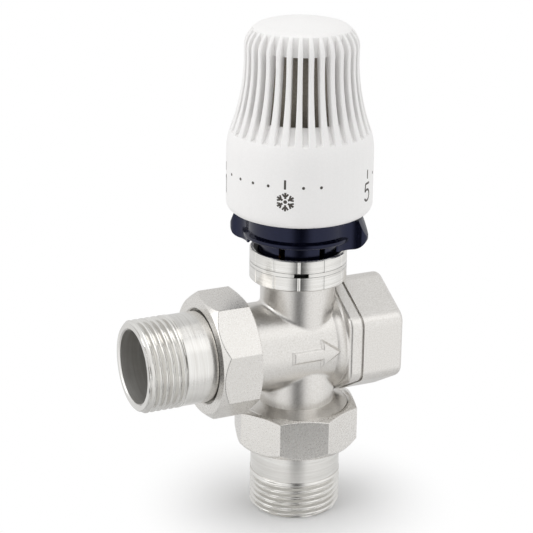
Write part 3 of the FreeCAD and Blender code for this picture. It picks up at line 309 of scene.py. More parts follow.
# %% Finishes of the solids
DRESSED = {
    "sandblasted_nickel": ["valve_body"],
    "forged_nickel": ["left_union_nut", "bottom_union_nut"],
    "turned_nickel_across": ["left_tailpiece"],
    "turned_nickel_upright": ["bottom_tailpiece"],
    "turned_nickel_collar": ["collar_nut", "collar_snap_ring"],
    "turned_brass": ["lower_seat_ring", "bonnet", "gland_nut", "valve_plug", "plug_nut"],
    "spring_steel": ["stem", "return_spring", "spring_washer", "stem_clip", "spring_cup",
                     "overtravel_spring", "pusher"],
    "moulded_rubber": ["left_union_gasket", "bottom_union_gasket", "bonnet_o_ring",
                       "stem_o_rings", "upper_plug_seal", "lower_plug_seal"],
    "glossy_navy_abs": ["head_base", "locking_ring"],
    "satin_white_abs": ["handwheel"],
    "filled_nylon": ["sensor_capsule", "sensor_carrier"],
}
for finish_name, node_names in DRESSED.items():
    for node_name in node_names:
        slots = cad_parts[node_name].data.materials
        slots.clear()
        slots.append(FINISHES[finish_name])
undressed = set(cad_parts) - {n for names in DRESSED.values() for n in names}
print("solids left undressed:", sorted(undressed))

# %% [markdown]
# ## Surfaces from arrays
# Every new piece is a grid of points: rows follow a profile, columns go round an axis or
# along a path. Neighbouring rows and columns share quads, and a side that wraps meets its own
# start. The signed volume of the closed shape tells whether its faces look outwards.

# %% Grid to mesh
CREASE = 38.0


def grid_quads(rows, columns, wrap_rows, wrap_columns):
    """Quads between neighbours of a rows x columns grid; a wrapped side meets its start."""
    i = np.arange(rows if wrap_rows else rows - 1)[:, None]
    j = np.arange(columns if wrap_columns else columns - 1)[None, :]
    next_i = (i + 1) % rows
    next_j = (j + 1) % columns
    corners = [i * columns + j, i * columns + next_j,
               next_i * columns + next_j, next_i * columns + j]
    return np.stack(np.broadcast_arrays(*corners), -1).reshape(-1, 4)


def signed_volume(points, quads):
    """Sum over the two triangles of each quad of a . (b x c) / 6: positive when outward."""
    a, b, c, d = (points[quads[:, k]] for k in range(4))
    first = np.einsum("ij,ij->i", a, np.cross(b, c))
    second = np.einsum("ij,ij->i", a, np.cross(c, d))
    return (first.sum() + second.sum()) / 6.0


def link_piece(name, points, quads, finish, body):
    """A mesh object from points in mm and quads, with its finish, on its body."""
    mesh = bpy.data.meshes.new(name)
    mesh.from_pydata((points * MM).tolist(), [], quads.tolist())
    mesh.validate()
    mesh.materials.append(FINISHES[finish])
    piece = bpy.data.objects.new(name, mesh)
    scene.collection.objects.link(piece)
    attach(piece, body)
    print(name, len(points), "points", len(quads), "quads")
    return piece


def make_piece(name, points, quads, finish, body, slot):
    """A closed piece with its faces outward, smooth but for edges sharper than the crease."""
    if signed_volume(points, quads) < 0:
        quads = quads[:, ::-1]
    piece = link_piece(name, points, quads, finish, body)
    piece.data.shade_smooth()
    piece.data.set_sharp_from_angle(angle=math.radians(CREASE))
    return piece


print("edges sharper than", CREASE, "degrees stay crisp")

# %% [markdown]
# ## Pipe threads of the tailpieces
# Each tail ends in a one-inch pipe thread: eleven turns to the inch, so 2.309 mm from crest to
# crest, and 1.48 mm deep. A thread is a groove that climbs one pitch in a full turn, so the
# radius only depends on height minus pitch times the turned fraction. Because that shift is a
# whole pitch after one turn, the grid closes on itself without a seam.

# %% Thread groove
PITCH = 25.4 / 11
THREAD_DEPTH, ROUNDING = 1.48, 0.06


def thread_depth(height, turn):
    """Depth from 0 at the crest to 1 at the root of a V groove, both ends rounded."""
    phase = np.mod(height / PITCH - turn / (2 * np.pi), 1.0)
    vee = np.clip(1 + ROUNDING - (1 + 2 * ROUNDING) * np.abs(2 * phase - 1), 0.0, 1.0)
    return vee * vee * (3.0 - 2.0 * vee)


print("thread: pitch", round(PITCH, 3), "mm, depth", THREAD_DEPTH, "mm")

# %% [markdown]
# The tail's section is a closed loop: out over the end face, up the thread, along the plain
# shank, round the flange that the nut pulls on, and back down the bore. Carried round the
# axis it is a tube. The thread is cut shallower at its start, by the end's bevel, and runs
# out over its last turn.

# %% Tailpieces
CREST, SHANK, FLANGE = 16.6, 16.4, 18.3
THREAD_LENGTH, FLANGE_BACK, TAIL_LENGTH = 14.3, 28.25, 31.0
BEVEL, BORE_BEVEL, FIRST_ROW = 1.2, 0.5, 0.25
SHANK_ROW, BORE_ROW = 20.3, 16.0


def tail_points(rows=79, columns=160):
    """Closed section (radius, height) turned round the axis, with the helical groove cut in."""
    turn = np.linspace(0, 2 * np.pi, columns, endpoint=False)[None, :]
    height = np.linspace(FIRST_ROW, THREAD_LENGTH, rows)[:, None]
    runout = np.clip((THREAD_LENGTH - height) / PITCH, 0.0, 1.0)
    bevel = CREST - np.clip(BEVEL - height, 0.0, None)
    groove = CREST - THREAD_DEPTH * np.sqrt(runout) * thread_depth(height, turn)
    threaded = np.minimum(groove, bevel)
    before = np.array([(BORE, BORE_BEVEL), (BORE + BORE_BEVEL, 0.0), (CREST - BEVEL, 0.0)])
    after = np.array([
        (SHANK, THREAD_LENGTH), (SHANK, SHANK_ROW), (SHANK, FLANGE_BACK), (FLANGE, FLANGE_BACK),
        (FLANGE, TAIL_LENGTH), (BORE, TAIL_LENGTH), (BORE, BORE_ROW)])
    flat = np.ones_like(turn)
    radius = np.vstack([before[:, :1] * flat, threaded, after[:, :1] * flat])
    rise = np.vstack([before[:, 1:] * flat, height * flat, after[:, 1:] * flat])
    points = np.stack([radius * np.cos(turn), radius * np.sin(turn), rise], -1)
    return points.reshape(-1, 3), grid_quads(*radius.shape, True, True)


upright, tail_quads = tail_points()
bottom_tail = make_piece("bottom_tail_threaded", upright, tail_quads,
                         "turned_nickel_upright", "valve", "bright_nickel")
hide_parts("bottom_tailpiece")
left_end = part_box("left_tailpiece")[0].x / MM
lying = np.stack([left_end + upright[:, 2], upright[:, 1], port_height - upright[:, 0]], -1)
left_tail = make_piece("left_tail_threaded", lying, tail_quads,
                       "turned_nickel_across", "valve", "bright_nickel")
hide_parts("left_tailpiece")

# %% [markdown]
# ## Female thread of the right port
# The hexagonal end is tapped with the same thread. In the solid its bore is plain, at the
# radius of the thread's crests, so the turns are added as low helical ridges that stand on the
# wall. The lining's back lies inside the wall, and the ridges fade out at both ends.

# %% Tapped bore
TAPPED, TAP_START, TAP_END = 15.15, 18.4, 32.3
RIDGE, BURIED, BACK = 0.42, 0.04, 0.5


def tapped_points(rows=120, columns=160):
    """Wall radius less a ridge height that climbs one pitch a turn, closed by a hidden back."""
    turn = np.linspace(0, 2 * np.pi, columns, endpoint=False)[None, :]
    along = np.linspace(TAP_START, TAP_END, rows)[:, None]
    fade = np.clip(np.minimum(along - TAP_START, TAP_END - along) / PITCH, 0.0, 1.0)
    ridge = (RIDGE + BURIED) * fade * (1.0 - thread_depth(along, turn))
    back = np.array([[TAP_END], [TAP_START]])
    radius = np.vstack([TAPPED + BURIED - ridge, TAPPED + BACK + 0 * back * turn])
    reach = np.vstack([along, back]) + 0 * radius
    points = np.stack([reach, radius * np.cos(turn), port_height + radius * np.sin(turn)], -1)
    return points.reshape(-1, 3), grid_quads(*radius.shape, True, True)


make_piece("port_thread", *tapped_points(), "turned_nickel_across", "valve", "cast_nickel")

# %% [markdown]
# ## Ribbed cap
# The cap is one moulding: a smooth dial band, thirty-two ribs that lean in towards a domed
# top, and open slots between the ribs that let room air reach the sensor. Cutting slots into
# a solid leaves knife edges, so the cap is drawn as a surface instead. One profile runs from
# the boss inside, down the inner wall, round the mouth and up over the outside. One section
# across a rib and its gaps, with rounded edges, is repeated round the axis. The two together
# give every point of the cap.

# %% Arcs for the profile


def arc(start, end, radius, side, count):
    """Points on the circle of this radius through start and end; side +1 bulges outwards."""
    start, end = np.array(start, float), np.array(end, float)
    chord = end - start
    length = np.hypot(*chord)
    across = np.array([chord[1], -chord[0]]) / length
    centre = (start + end) / 2 - side * across * math.sqrt(radius ** 2 - length ** 2 / 4)
    first = math.atan2(*(start - centre)[::-1])
    swing = math.remainder(math.atan2(*(end - centre)[::-1]) - first, 2 * math.pi)
    angle = first + swing * np.linspace(0, 1, count)
    return centre + radius * np.stack([np.cos(angle), np.sin(angle)], -1)


BAND, MOUTH, CAP_LOW, FOOT = 25.97, 22.4, 114.2, 3.6
BAND_TOP, SHOULDER, WAIST, CROWN = 136.0, (24.47, 144.4), (20.07, 173.0), (15.4, 180.5)
SWELL_RADIUS, LEAN_RADIUS, CROWN_RADIUS = 24.3, 72.9, 8.4
CAP_TOP = 182.78
print("cap stands", round(CAP_TOP - CAP_LOW, 2), "mm high")

# %% [markdown]
# The outer rows carry the ribs. Where a rib starts, the gap's floor slopes in from the
# surface. Further up, the gap is open right through the wall. Near the top the floor returns
# and meets the surface again on the rounded crown. So each row has its outer radius and the
# radius of its gap's floor.

# %% Outer rows of the cap
GAP_LOW, SLOT_LOW, SLOT_HIGH = 143.4, 149.0, 172.6
GAP_LIP, LIP_FLOOR, SLOT_FOOT, RIB_END, STEP = 0.5, 23.2, 20.3, 17.05, 0.08
BAND_ROWS, SLOPE_ROWS = (122.0, 129.0), (145.3, 146.2, 147.1, 148.0)
SLOT_ROWS = np.r_[SLOT_LOW + STEP, np.linspace(SLOT_LOW, SLOT_HIGH, 15)[1:-1], SLOT_HIGH - STEP]
INNER_WALL = np.array([(24.1, BAND_TOP), (20.2, SHOULDER[1]), (15.8, WAIST[1]), (11.1, 176.2)])


def inner_radius(height):
    """Radius of the cap's inner wall: straight runs from the band up to the dome."""
    return np.interp(height, INNER_WALL[:, 1], INNER_WALL[:, 0])


def outer_rows():
    """Outer (radius, height) rows from the mouth to the dome, and the gap floor's radius."""
    foot = arc((MOUTH, CAP_LOW), (BAND, CAP_LOW + FOOT), FOOT, 1, 7)
    band = np.array([(BAND, row) for row in (*BAND_ROWS, BAND_TOP)])
    swell = arc((BAND, BAND_TOP), SHOULDER, SWELL_RADIUS, 1, 200)
    lean = arc(SHOULDER, WAIST, LEAN_RADIUS, -1, 200)
    wall = np.vstack([swell, lean[1:]])
    rows = np.r_[np.linspace(BAND_TOP, GAP_LOW, 9)[1:], GAP_LOW + GAP_LIP / 2, GAP_LOW + GAP_LIP,
                 SHOULDER[1], SLOPE_ROWS, SLOT_LOW, SLOT_ROWS, SLOT_HIGH]
    ribs = np.stack([np.interp(rows, wall[:, 1], wall[:, 0]), rows], -1)
    crown = arc(WAIST, CROWN, CROWN_RADIUS, 1, 16)
    rise = CAP_TOP - CROWN[1]
    dome = arc(CROWN, (0.0, CAP_TOP), (CROWN[0] ** 2 / rise + rise) / 2, 1, 16)[1:-1]
    outer = np.vstack([foot, band, ribs, crown, dome])
    radius, height = outer.T
    floor = np.interp(height, [GAP_LOW, GAP_LOW + GAP_LIP, SLOT_LOW],
                      [SHOULDER[0], LIP_FLOOR, SLOT_FOOT])
    floor = np.where(height > SLOT_HIGH - STEP / 2, RIB_END, floor)
    is_open = np.isin(height, SLOT_ROWS)
    floor = np.where(is_open, inner_radius(height), np.minimum(floor, radius))
    floor = np.where(height <= GAP_LOW, radius, floor)
    return outer, floor, is_open


outer, floor, outer_open = outer_rows()
print(len(outer), "outer rows,", int(outer_open.sum()), "of them open")

# %% [markdown]
# Inside, the profile goes down from the boss that presses on the sensor, along the inner
# wall, round the threaded hub and its web, and down the band's inside to the mouth.

# %% Inner rows of the cap
HUB_BORE, HUB_OUTER, HUB_LOW, WEB_LOW = 15.55, 17.3, 121.0, 134.0
BOSS, BOSS_LOW, BOSS_ROOT, POLE = 5.0, 175.1, 179.2, 0.8
MOUTH_INNER = 20.5


def inner_rows():
    """Inner (radius, height) rows from the boss down to the mouth."""
    band = INNER_WALL[0, 0]
    above = [(POLE, BOSS_LOW), (BOSS, BOSS_LOW), (BOSS, BOSS_ROOT), *INNER_WALL[:1:-1]]
    slots = np.stack([inner_radius(SLOT_ROWS), SLOT_ROWS], -1)[::-1]
    below = [*INNER_WALL[1::-1], (HUB_BORE, BAND_TOP), (HUB_BORE, HUB_LOW),
             (HUB_OUTER, HUB_LOW), (HUB_OUTER, WEB_LOW), (band, WEB_LOW),
             (band, CAP_LOW + FOOT), (MOUTH_INNER, CAP_LOW)]
    inner = np.vstack([above, slots, below])
    is_open = np.isin(inner[:, 1], SLOT_ROWS)
    return inner, is_open


inner, inner_open = inner_rows()
print(len(inner), "inner rows,", int(inner_open.sum()), "of them open")

# %% [markdown]
# Across one rib pitch the section goes from the middle of a gap, along its floor, up the
# rib's side with a little mould draft, over a rounded edge and across the rib's top, then down
# the other side. Side walls are parallel, as a blade of the mould leaves them, so the points
# are placed by their distance from the gap's middle plane, not by an angle.

# %% Section across a rib
RIBS, GAP, EDGE, DRAFT = 32, 2.1, 0.55, 0.1
RIB_PITCH = 2 * np.pi / RIBS
EDGE_SHARE, GAP_SHARE = 0.48, 0.36
FIRST_GAP = math.radians(0.1)
BEND = np.linspace(0, np.pi / 2, 5)
SIDE = np.r_[0.0, GAP / 2 - DRAFT, GAP / 2 + EDGE * (1 - np.cos(BEND))]
INSET = np.r_[0.0, 0.0, EDGE * (1 - np.sin(BEND))]
IN_GAP = np.arange(len(SIDE)) < 2


def outer_section(rows, floor):
    """Half a section for each outer row: the gap at its floor, then the rounded rib edge."""
    radius = rows[:, :1]
    depth = radius - floor[:, None]
    sunk = np.where(IN_GAP, depth, INSET * np.clip(depth / (2 * EDGE), 0, 1))
    reach = radius - sunk
    lean = np.arcsin(np.clip(SIDE / np.maximum(reach, 2.0), 0, 1))
    return reach, lean * np.minimum(1, EDGE_SHARE * RIB_PITCH / lean[:, -1:])


def inner_section(rows):
    """Half a section for each inner row: the gap's edge, then even steps to the rib's middle."""
    radius = rows[:, :1]
    widest = math.sin(GAP_SHARE * RIB_PITCH)
    edge = np.arcsin(np.minimum(SIDE[1] / np.maximum(radius, 1.0), widest))
    spread = np.clip((np.arange(len(SIDE)) - 1) / (len(SIDE) - 1), 0, 1)
    lean = np.where(np.arange(len(SIDE)) == 0, 0.0, edge + (RIB_PITCH / 2 - edge) * spread)
    return np.repeat(radius, len(SIDE), 1), lean


print("section has", 2 * len(SIDE) - 1, "points for each of", RIBS, "ribs")

# %% [markdown]
# The half sections are mirrored, repeated round the axis and joined to quads. Quads that
# would close a slot are left out, and the rims of the slots, which the outer and the inner
# wall share point for point, are welded by their rounded coordinates.

# %% Build the cap


def zip_ring(first, count):
    """Quads that close a ring of points: each pair meets the pair opposite, like a zip."""
    j = np.arange(count // 2 - 1)
    return first + np.stack([j, j + 1, count - 2 - j, count - 1 - j], -1)


def cap_mesh():
    """Profile rows times rib sections, slots left open, rims welded, both poles closed."""
    reach, lean = (np.vstack(pair) for pair in zip(
        inner_section(inner), outer_section(outer, floor)))
    height = np.r_[inner[:, 1], outer[:, 1]]
    is_open = np.r_[inner_open, outer_open]
    reach = np.hstack([reach, reach[:, :0:-1]])
    angle = np.hstack([lean, RIB_PITCH - lean[:, :0:-1]])
    turns = FIRST_GAP + RIB_PITCH * np.arange(RIBS)
    angle = (angle[:, None, :] + turns[None, :, None]).reshape(len(height), -1)
    reach = np.tile(reach, (1, RIBS))
    rise = np.broadcast_to(height[:, None], reach.shape)
    points = np.stack([reach * np.cos(angle), reach * np.sin(angle), rise], -1).reshape(-1, 3)
    rows, columns = reach.shape
    quads = grid_quads(rows, columns, False, True)
    spot = np.arange(columns) % (2 * len(SIDE) - 1)
    over_gap = (spot == 0) | (spot == 2 * len(SIDE) - 2)
    window = (is_open[:-1] & is_open[1:])[:, None] & over_gap[None, :]
    quads = quads[~window.reshape(-1)]
    ends = [zip_ring(0, columns)[:, ::-1], zip_ring((rows - 1) * columns, columns)]
    quads = np.vstack([quads, *ends])
    points, merged = np.unique(np.round(points, 4), axis=0, return_inverse=True)
    return points, merged.reshape(-1)[quads]


cap = make_piece("ribbed_cap", *cap_mesh(), "satin_white_abs", "wheel", "white_plastic")
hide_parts("handwheel")

# %% [markdown]
# ## Overtravel spring
# Between the pusher and the cup's roof sits a compression spring, five turns of drawn steel
# wire. When the stem is held fast and the sensor still pushes, the spring gives way. A spring
# is a circle carried along a helix. It is drawn here rather than kept as a solid, and gets a
# mesh of its own.

# %% Wire along a helix
COIL, WIRE, COIL_TURNS = 5.6, 0.6, 5
COIL_LOW, COIL_HIGH, OVERTRAVEL = 113.03, 124.17, 3.0


def coil_points(steps=48, sides=12):
    """Helix centre plus wire radius times (cos u outward + sin u across the wire's run)."""
    rows = steps * COIL_TURNS + 1
    turn = np.linspace(0, 2 * np.pi * COIL_TURNS, rows)[:, None, None]
    around = np.linspace(0, 2 * np.pi, sides, endpoint=False)[None, :, None]
    rise = COIL_HIGH - COIL_LOW - 2 * WIRE
    outward = np.concatenate([np.cos(turn), np.sin(turn), 0 * turn], -1)
    run = np.concatenate([-COIL * np.sin(turn), COIL * np.cos(turn),
                          rise / (2 * np.pi * COIL_TURNS) + 0 * turn], -1)
    across = np.cross(outward, run / np.linalg.norm(run, axis=-1, keepdims=True))
    climb = np.concatenate([0 * turn, 0 * turn, np.linspace(0, rise, rows)[:, None, None]], -1)
    centre = COIL * outward + climb + np.array([0, 0, COIL_LOW + WIRE])
    points = centre + WIRE * (np.cos(around) * outward + np.sin(around) * across)
    ends = [zip_ring(0, sides)[:, ::-1], zip_ring((rows - 1) * sides, sides)]
    return points.reshape(-1, 3), np.vstack([grid_quads(rows, sides, False, True), *ends])


spring = make_piece("overtravel_coil", *coil_points(), "spring_steel", "sensor", "steel")
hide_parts("overtravel_spring")
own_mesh(spring)

# %% [markdown]
# ## Stop nib
# Under the hub a small nib meets a lug on the base and ends the cap's turn at both limits. It
# is a sector of a ring: a rectangular section carried along an arc and closed at both ends.

# %% Stop nib
NIB_RADII, NIB_HEIGHTS, NIB_START, NIB_SWEEP = (15.8, 17.3), (116.95, 121.05), 83.75, 10.0


def ring_sector(radii, heights, start, sweep, count=9):
    """Rectangle (radius, height) carried round the axis from start through sweep degrees."""
    turn = np.radians(np.linspace(start, start + sweep, count))[:, None]
    radius = np.array([radii[0], radii[1], radii[1], radii[0]])[None, :]
    height = np.array([heights[0], heights[0], heights[1], heights[1]])[None, :] + 0 * turn
    points = np.stack([radius * np.cos(turn), radius * np.sin(turn), height], -1).reshape(-1, 3)
    last = 4 * (count - 1)
    ends = np.array([[3, 2, 1, 0], [last, last + 1, last + 2, last + 3]])
    return points, np.vstack([grid_quads(count, 4, False, True), ends])


make_piece("stop_nib", *ring_sector(NIB_RADII, NIB_HEIGHTS, NIB_START, NIB_SWEEP),
           "satin_white_abs", "wheel", "white_plastic")

# %% [markdown]
# ## Dial print
# Numbers, dots, bars and a frost sign are pad printed on the band in dark grey ink. Print is a
# film, so each stroke is a ribbon of points on the band's own cylinder: a path drawn flat in
# millimetres, widened to both sides, and wrapped by turning its distance along the band into
# an angle. A thin Solidify gives the film its thickness inwards.

# %% Strokes wrapped on the band
PRINT_RADIUS = 25.99
SHEETS = []


def ribbon(path, width):
    """Path points moved half a width to both sides along the path's normal, as a 2-row grid."""
    path = np.array(path, float)
    run = np.gradient(path, axis=0)
    run /= np.linalg.norm(run, axis=1, keepdims=True)
    normal = np.stack([-run[:, 1], run[:, 0]], -1) * width / 2
    return np.stack([path - normal, path + normal])


def dense(corners, step=0.25):
    """Evenly spaced points along straight runs between corners."""
    corners = np.array(corners, float)
    reach = np.r_[0, np.cumsum(np.hypot(*np.diff(corners, axis=0).T))]
    spots = np.linspace(0, reach[-1], max(2, int(reach[-1] / step) + 1))
    return np.stack([np.interp(spots, reach, corners[:, k]) for k in range(2)], -1)


def bow(centre, radii, start, end, count=24):
    """Points on an ellipse about centre from start to end degrees."""
    angle = np.radians(np.linspace(start, end, count))
    return np.array(centre) + np.stack([radii[0] * np.cos(angle), radii[1] * np.sin(angle)], -1)


def print_on(band_angle, height, path, width):
    """Wrap a ribbon on the band: sideways mm become an angle, upward mm stay height."""
    sheet = ribbon(path, width)
    turn = math.radians(band_angle) + sheet[..., 0] / PRINT_RADIUS
    points = np.stack([PRINT_RADIUS * np.cos(turn), PRINT_RADIUS * np.sin(turn),
                       height + sheet[..., 1]], -1)
    SHEETS.append((points.reshape(-1, 3), grid_quads(*sheet.shape[:2], False, False)))


def dot_on(band_angle, height, size, count=13):
    """A round dot as one ribbon whose half width follows a circle."""
    across = np.cos(np.linspace(np.pi, 0, count)) * size / 2
    half = np.sqrt(np.clip((size / 2) ** 2 - across ** 2, 1e-6, None))
    turn = math.radians(band_angle) + np.stack([across, across]) / PRINT_RADIUS
    points = np.stack([PRINT_RADIUS * np.cos(turn), PRINT_RADIUS * np.sin(turn),
                       height + np.stack([-half, half])], -1)
    SHEETS.append((points.reshape(-1, 3), grid_quads(2, count, False, False)))


print("printing on a band of radius", PRINT_RADIUS, "mm")

# %% [markdown]
# The figures are drawn as strokes about their middle, 6.6 mm high. Only plain numbers are
# used, and the frost sign is six plain arms with small side branches.

# %% Figures
FIGURES = {
    "1": [dense([(-0.9, 1.9), (0.5, 3.3), (0.5, -3.3)])],
    "2": [np.vstack([bow((0, 1.5), (1.8, 1.8), 170, -35),
                     dense([(1.3, 0.1), (-1.8, -3.0), (2.0, -3.0)])])],
    "3": [np.vstack([bow((-0.1, 1.65), (1.7, 1.6), 150, -80),
                     bow((-0.1, -1.55), (1.9, 1.75), 85, -150)])],
    "4": [dense([(0.9, -3.3), (0.9, 3.2), (-2.0, -1.5), (2.1, -1.5)])],
    "5": [np.vstack([dense([(1.7, 3.0), (-1.3, 3.0), (-1.6, 0.4)]),
                     bow((-0.1, -1.2), (1.9, 2.0), 130, -150)])],
}
STROKE, BAR_STROKE, BRANCH_STROKE = 0.75, 0.7, 0.62
BAR_HALF, SNOW_BAR_HALF = 1.6, 1.65
FIGURE_HEIGHT, SNOW_HEIGHT, BAR_HEIGHT, DOT_HEIGHT = 124.3, 124.5, 130.6, 129.6
SNOW_DOT, SCALE_DOT = 1.3, 1.05
SNOW_ANGLE, SNOW_TO_ONE, SNOW_BAR_SHIFT, MARK_STEP = -127.3, -71.5, -0.35, -13.65
FIRST_NUMBER, LAST_NUMBER = SNOW_ANGLE + SNOW_TO_ONE, -412.0
NUMBER_STEP = (LAST_NUMBER - FIRST_NUMBER) / 4
for place_index, strokes in enumerate(FIGURES.values()):
    spot = FIRST_NUMBER + NUMBER_STEP * place_index
    print_on(spot, BAR_HEIGHT, dense([(0, -BAR_HALF), (0, BAR_HALF)]), BAR_STROKE)
    for stroke in strokes:
        print_on(spot, FIGURE_HEIGHT, stroke, STROKE)
print(len(SHEETS), "strokes for the figures and their bars")

# %% [markdown]
# The frost sign marks the coldest setting, where the dial rests. One arm is drawn along the
# band and turned six times about the sign's middle. Dots between the marks make the scale.

# %% Frost sign, dots and bars
snow_bar = dense([(0, -SNOW_BAR_HALF), (0, SNOW_BAR_HALF)])
print_on(SNOW_ANGLE + SNOW_BAR_SHIFT, BAR_HEIGHT, snow_bar, STROKE)
for arm in np.radians(np.arange(30, 390, 60)):
    turn_arm = np.array([[math.cos(arm), math.sin(arm)], [-math.sin(arm), math.cos(arm)]])
    print_on(SNOW_ANGLE, SNOW_HEIGHT, dense([(1.1, 0), (3.3, 0)]) @ turn_arm, STROKE)
    for way in (1, -1):
        branch = dense([(1.9, 0.3 * way), (2.8, 1.05 * way)])
        print_on(SNOW_ANGLE, SNOW_HEIGHT, branch @ turn_arm, BRANCH_STROKE)
dot_on(SNOW_ANGLE, SNOW_HEIGHT, SNOW_DOT)
dot_angles = [SNOW_ANGLE + MARK_STEP * k for k in (-2, -1, 1, 2, 3, 4)]
dot_angles += [FIRST_NUMBER + NUMBER_STEP * (n + k / 4) for n in range(4) for k in (1, 2, 3)]
for dot_angle in dot_angles:
    dot_on(dot_angle, DOT_HEIGHT, SCALE_DOT)
print(len(SHEETS), "strokes and dots in all")

# %% [markdown]
# All strokes become one piece. A stroke's quads may wind either way, so each one is turned to
# look away from the cap's axis before the film gets its thickness.

# %% Join the print
INK = 0.012


def join_sheets(sheets):
    """Stack the points of many sheets and shift each one's quads by the points before it."""
    counts = np.cumsum([0] + [len(points) for points, quads in sheets[:-1]])
    points = np.vstack([points for points, quads in sheets])
    quads = np.vstack([quads + count for (_, quads), count in zip(sheets, counts)])
    return points, quads


def face_out(points, quads):
    """Flip quads whose normal does not look away from the cap's axis."""
    a, b, d = (points[quads[:, k]] for k in (0, 1, 3))
    normal = np.cross(b - a, d - a)
    inward = np.einsum("ij,ij->i", normal[:, :2], a[:, :2]) < 0
    return points, np.where(inward[:, None], quads[:, ::-1], quads)


def make_film(name, points, quads, finish, body, slot, thickness):
    """An open sheet given a thickness in millimetres, inwards from its outer side."""
    piece = link_piece(name, points, quads, finish, body)
    film = piece.modifiers.new("film", "SOLIDIFY")
    film.thickness = thickness * MM
    film.offset = -1.0
    return piece


make_film("dial_print", *face_out(*join_sheets(SHEETS)),
          "dial_ink", "wheel", "navy_plastic", INK)

# %% [markdown]
# ## Collar nut
# The collar that pulls the head down is turned, then twelve shallow flutes are milled down its
# side for a grip. Milled with a round cutter, a flute has soft sides, so the collar is drawn as
# its closed section carried round the axis, with a small cosine dip at each flute. Where the
# spring ring in its groove is open, the groove is cut deeper for the ring's ends.

# %% Fluted collar
FLUTES, FLUTE_TURN, FLUTE_WIDTH, FLUTE_DEPTH = 12, 4.5, 1.2, 0.17
FLUTED_FROM, GROOVE_FLOOR, GROOVE_LOW, GROOVE_HIGH = 17.0, 16.4, 94.0, 95.6
MOUTH_TURN, MOUTH_WIDTH, MOUTH_FLOOR = -112.4, 17.4, 15.15
COLLAR, COLLAR_LOW, COLLAR_HIGH = 17.45, 88.8, 100.2
COLLAR_SECTION = np.array([
    (15.05, COLLAR_LOW), (17.05, COLLAR_LOW), (COLLAR, 89.2), (COLLAR, 91.6),
    (COLLAR, GROOVE_LOW), (GROOVE_FLOOR, GROOVE_LOW), (GROOVE_FLOOR, GROOVE_HIGH),
    (COLLAR, GROOVE_HIGH), (COLLAR, 97.6), (COLLAR, 99.8), (17.05, COLLAR_HIGH),
    (16.4, COLLAR_HIGH), (14.6, 99.15), (14.6, 97.95), (15.05, 97.95)])


def collar_points(columns=1440):
    """Section rows times angles: outer rows dip at each flute, groove rows sink at the mouth."""
    degrees = np.arange(columns) * 360.0 / columns
    apart = 360.0 / FLUTES
    off_flute = np.abs(np.mod(degrees - FLUTE_TURN + apart / 2, apart) - apart / 2)
    half = math.degrees(FLUTE_WIDTH / 2 / COLLAR)
    dip = FLUTE_DEPTH * (0.5 + 0.5 * np.cos(np.pi * np.clip(off_flute / half, 0, 1)))
    off_mouth = np.abs(np.mod(degrees - MOUTH_TURN + 180.0, 360.0) - 180.0)
    radius, height = (COLLAR_SECTION[:, k, None] for k in range(2))
    fluted = np.where(radius > FLUTED_FROM, radius - dip, radius)
    in_groove = (radius == GROOVE_FLOOR) & (height <= GROOVE_HIGH)
    reach = np.where(in_groove & (off_mouth < MOUTH_WIDTH / 2), MOUTH_FLOOR, fluted)
    turn = np.radians(degrees)
    points = np.stack([reach * np.cos(turn), reach * np.sin(turn), height + 0 * reach], -1)
    return points.reshape(-1, 3), grid_quads(*reach.shape, True, True)


collar = make_piece("fluted_collar", *collar_points(),
                    "turned_nickel_collar", "collar", "bright_nickel")
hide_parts("collar_nut")

# %% [markdown]
# ## Flow arrow
# The arrow on the front is cast with the body, so its edges are soft. A height is worked out on
# a grid that lies on the barrel: the distance inside the arrow's outline, from straight lines,
# goes through a smooth step. Outside the arrow the grid dips just under the barrel's skin.

# %% Cast arrow
BARREL, RELIEF, SHOULDER_WIDTH, SUNK, MARGIN, BACKING = 16.1, 0.9, 1.3, 0.05, 1.6, 0.25
ARROW_TIP, ARROW_NECK, ARROW_HALF, HEAD_HALF = 8.5, 2.9, 1.4, 3.8


def arrow_points(rows=90, columns=200):
    """Barrel radius plus a smooth step of the distance to the nearest edge of the arrow."""
    along = np.linspace(-ARROW_TIP - MARGIN, ARROW_TIP + MARGIN, columns)[None, :]
    around = np.linspace(-HEAD_HALF - MARGIN, HEAD_HALF + MARGIN, rows)[:, None]
    slope = math.atan2(HEAD_HALF, ARROW_TIP - ARROW_NECK)
    ends = np.minimum(along + ARROW_TIP, ARROW_NECK + 1 - along)
    shaft = np.minimum(ARROW_HALF - np.abs(around), ends)
    head = np.minimum((ARROW_TIP - along) * math.sin(slope) - np.abs(around) * math.cos(slope),
                      along - ARROW_NECK)
    inside = np.clip(np.maximum(shaft, head) / SHOULDER_WIDTH + 1.0, 0, 1)
    radius = BARREL - SUNK + RELIEF * inside * inside * (3 - 2 * inside)
    turn = around / BARREL
    points = np.stack([along + 0 * radius, -radius * np.cos(turn),
                       port_height + radius * np.sin(turn)], -1)
    return points.reshape(-1, 3), grid_quads(rows, columns, False, False)


arrow = make_film("cast_flow_arrow", *arrow_points(),
                  "sandblasted_nickel", "valve", "cast_nickel", BACKING)
arrow.data.shade_smooth()

# %% [markdown]
# ## Floor
# The valve stands on a wide white floor. Close to the foot the floor is matt and takes the
# shadow. A few centimetres out it turns plain white for the camera, and a little further out it
# turns see-through for what the metal mirrors. So a picture shows the valve on a white page,
# and the metal shows the room.

# %% Floor
PAGE, MIRROR = (16.0, 62.0), (20.0, 110.0)
FLOOR_HALF, FLOOR_DROP = 6.0, 0.05


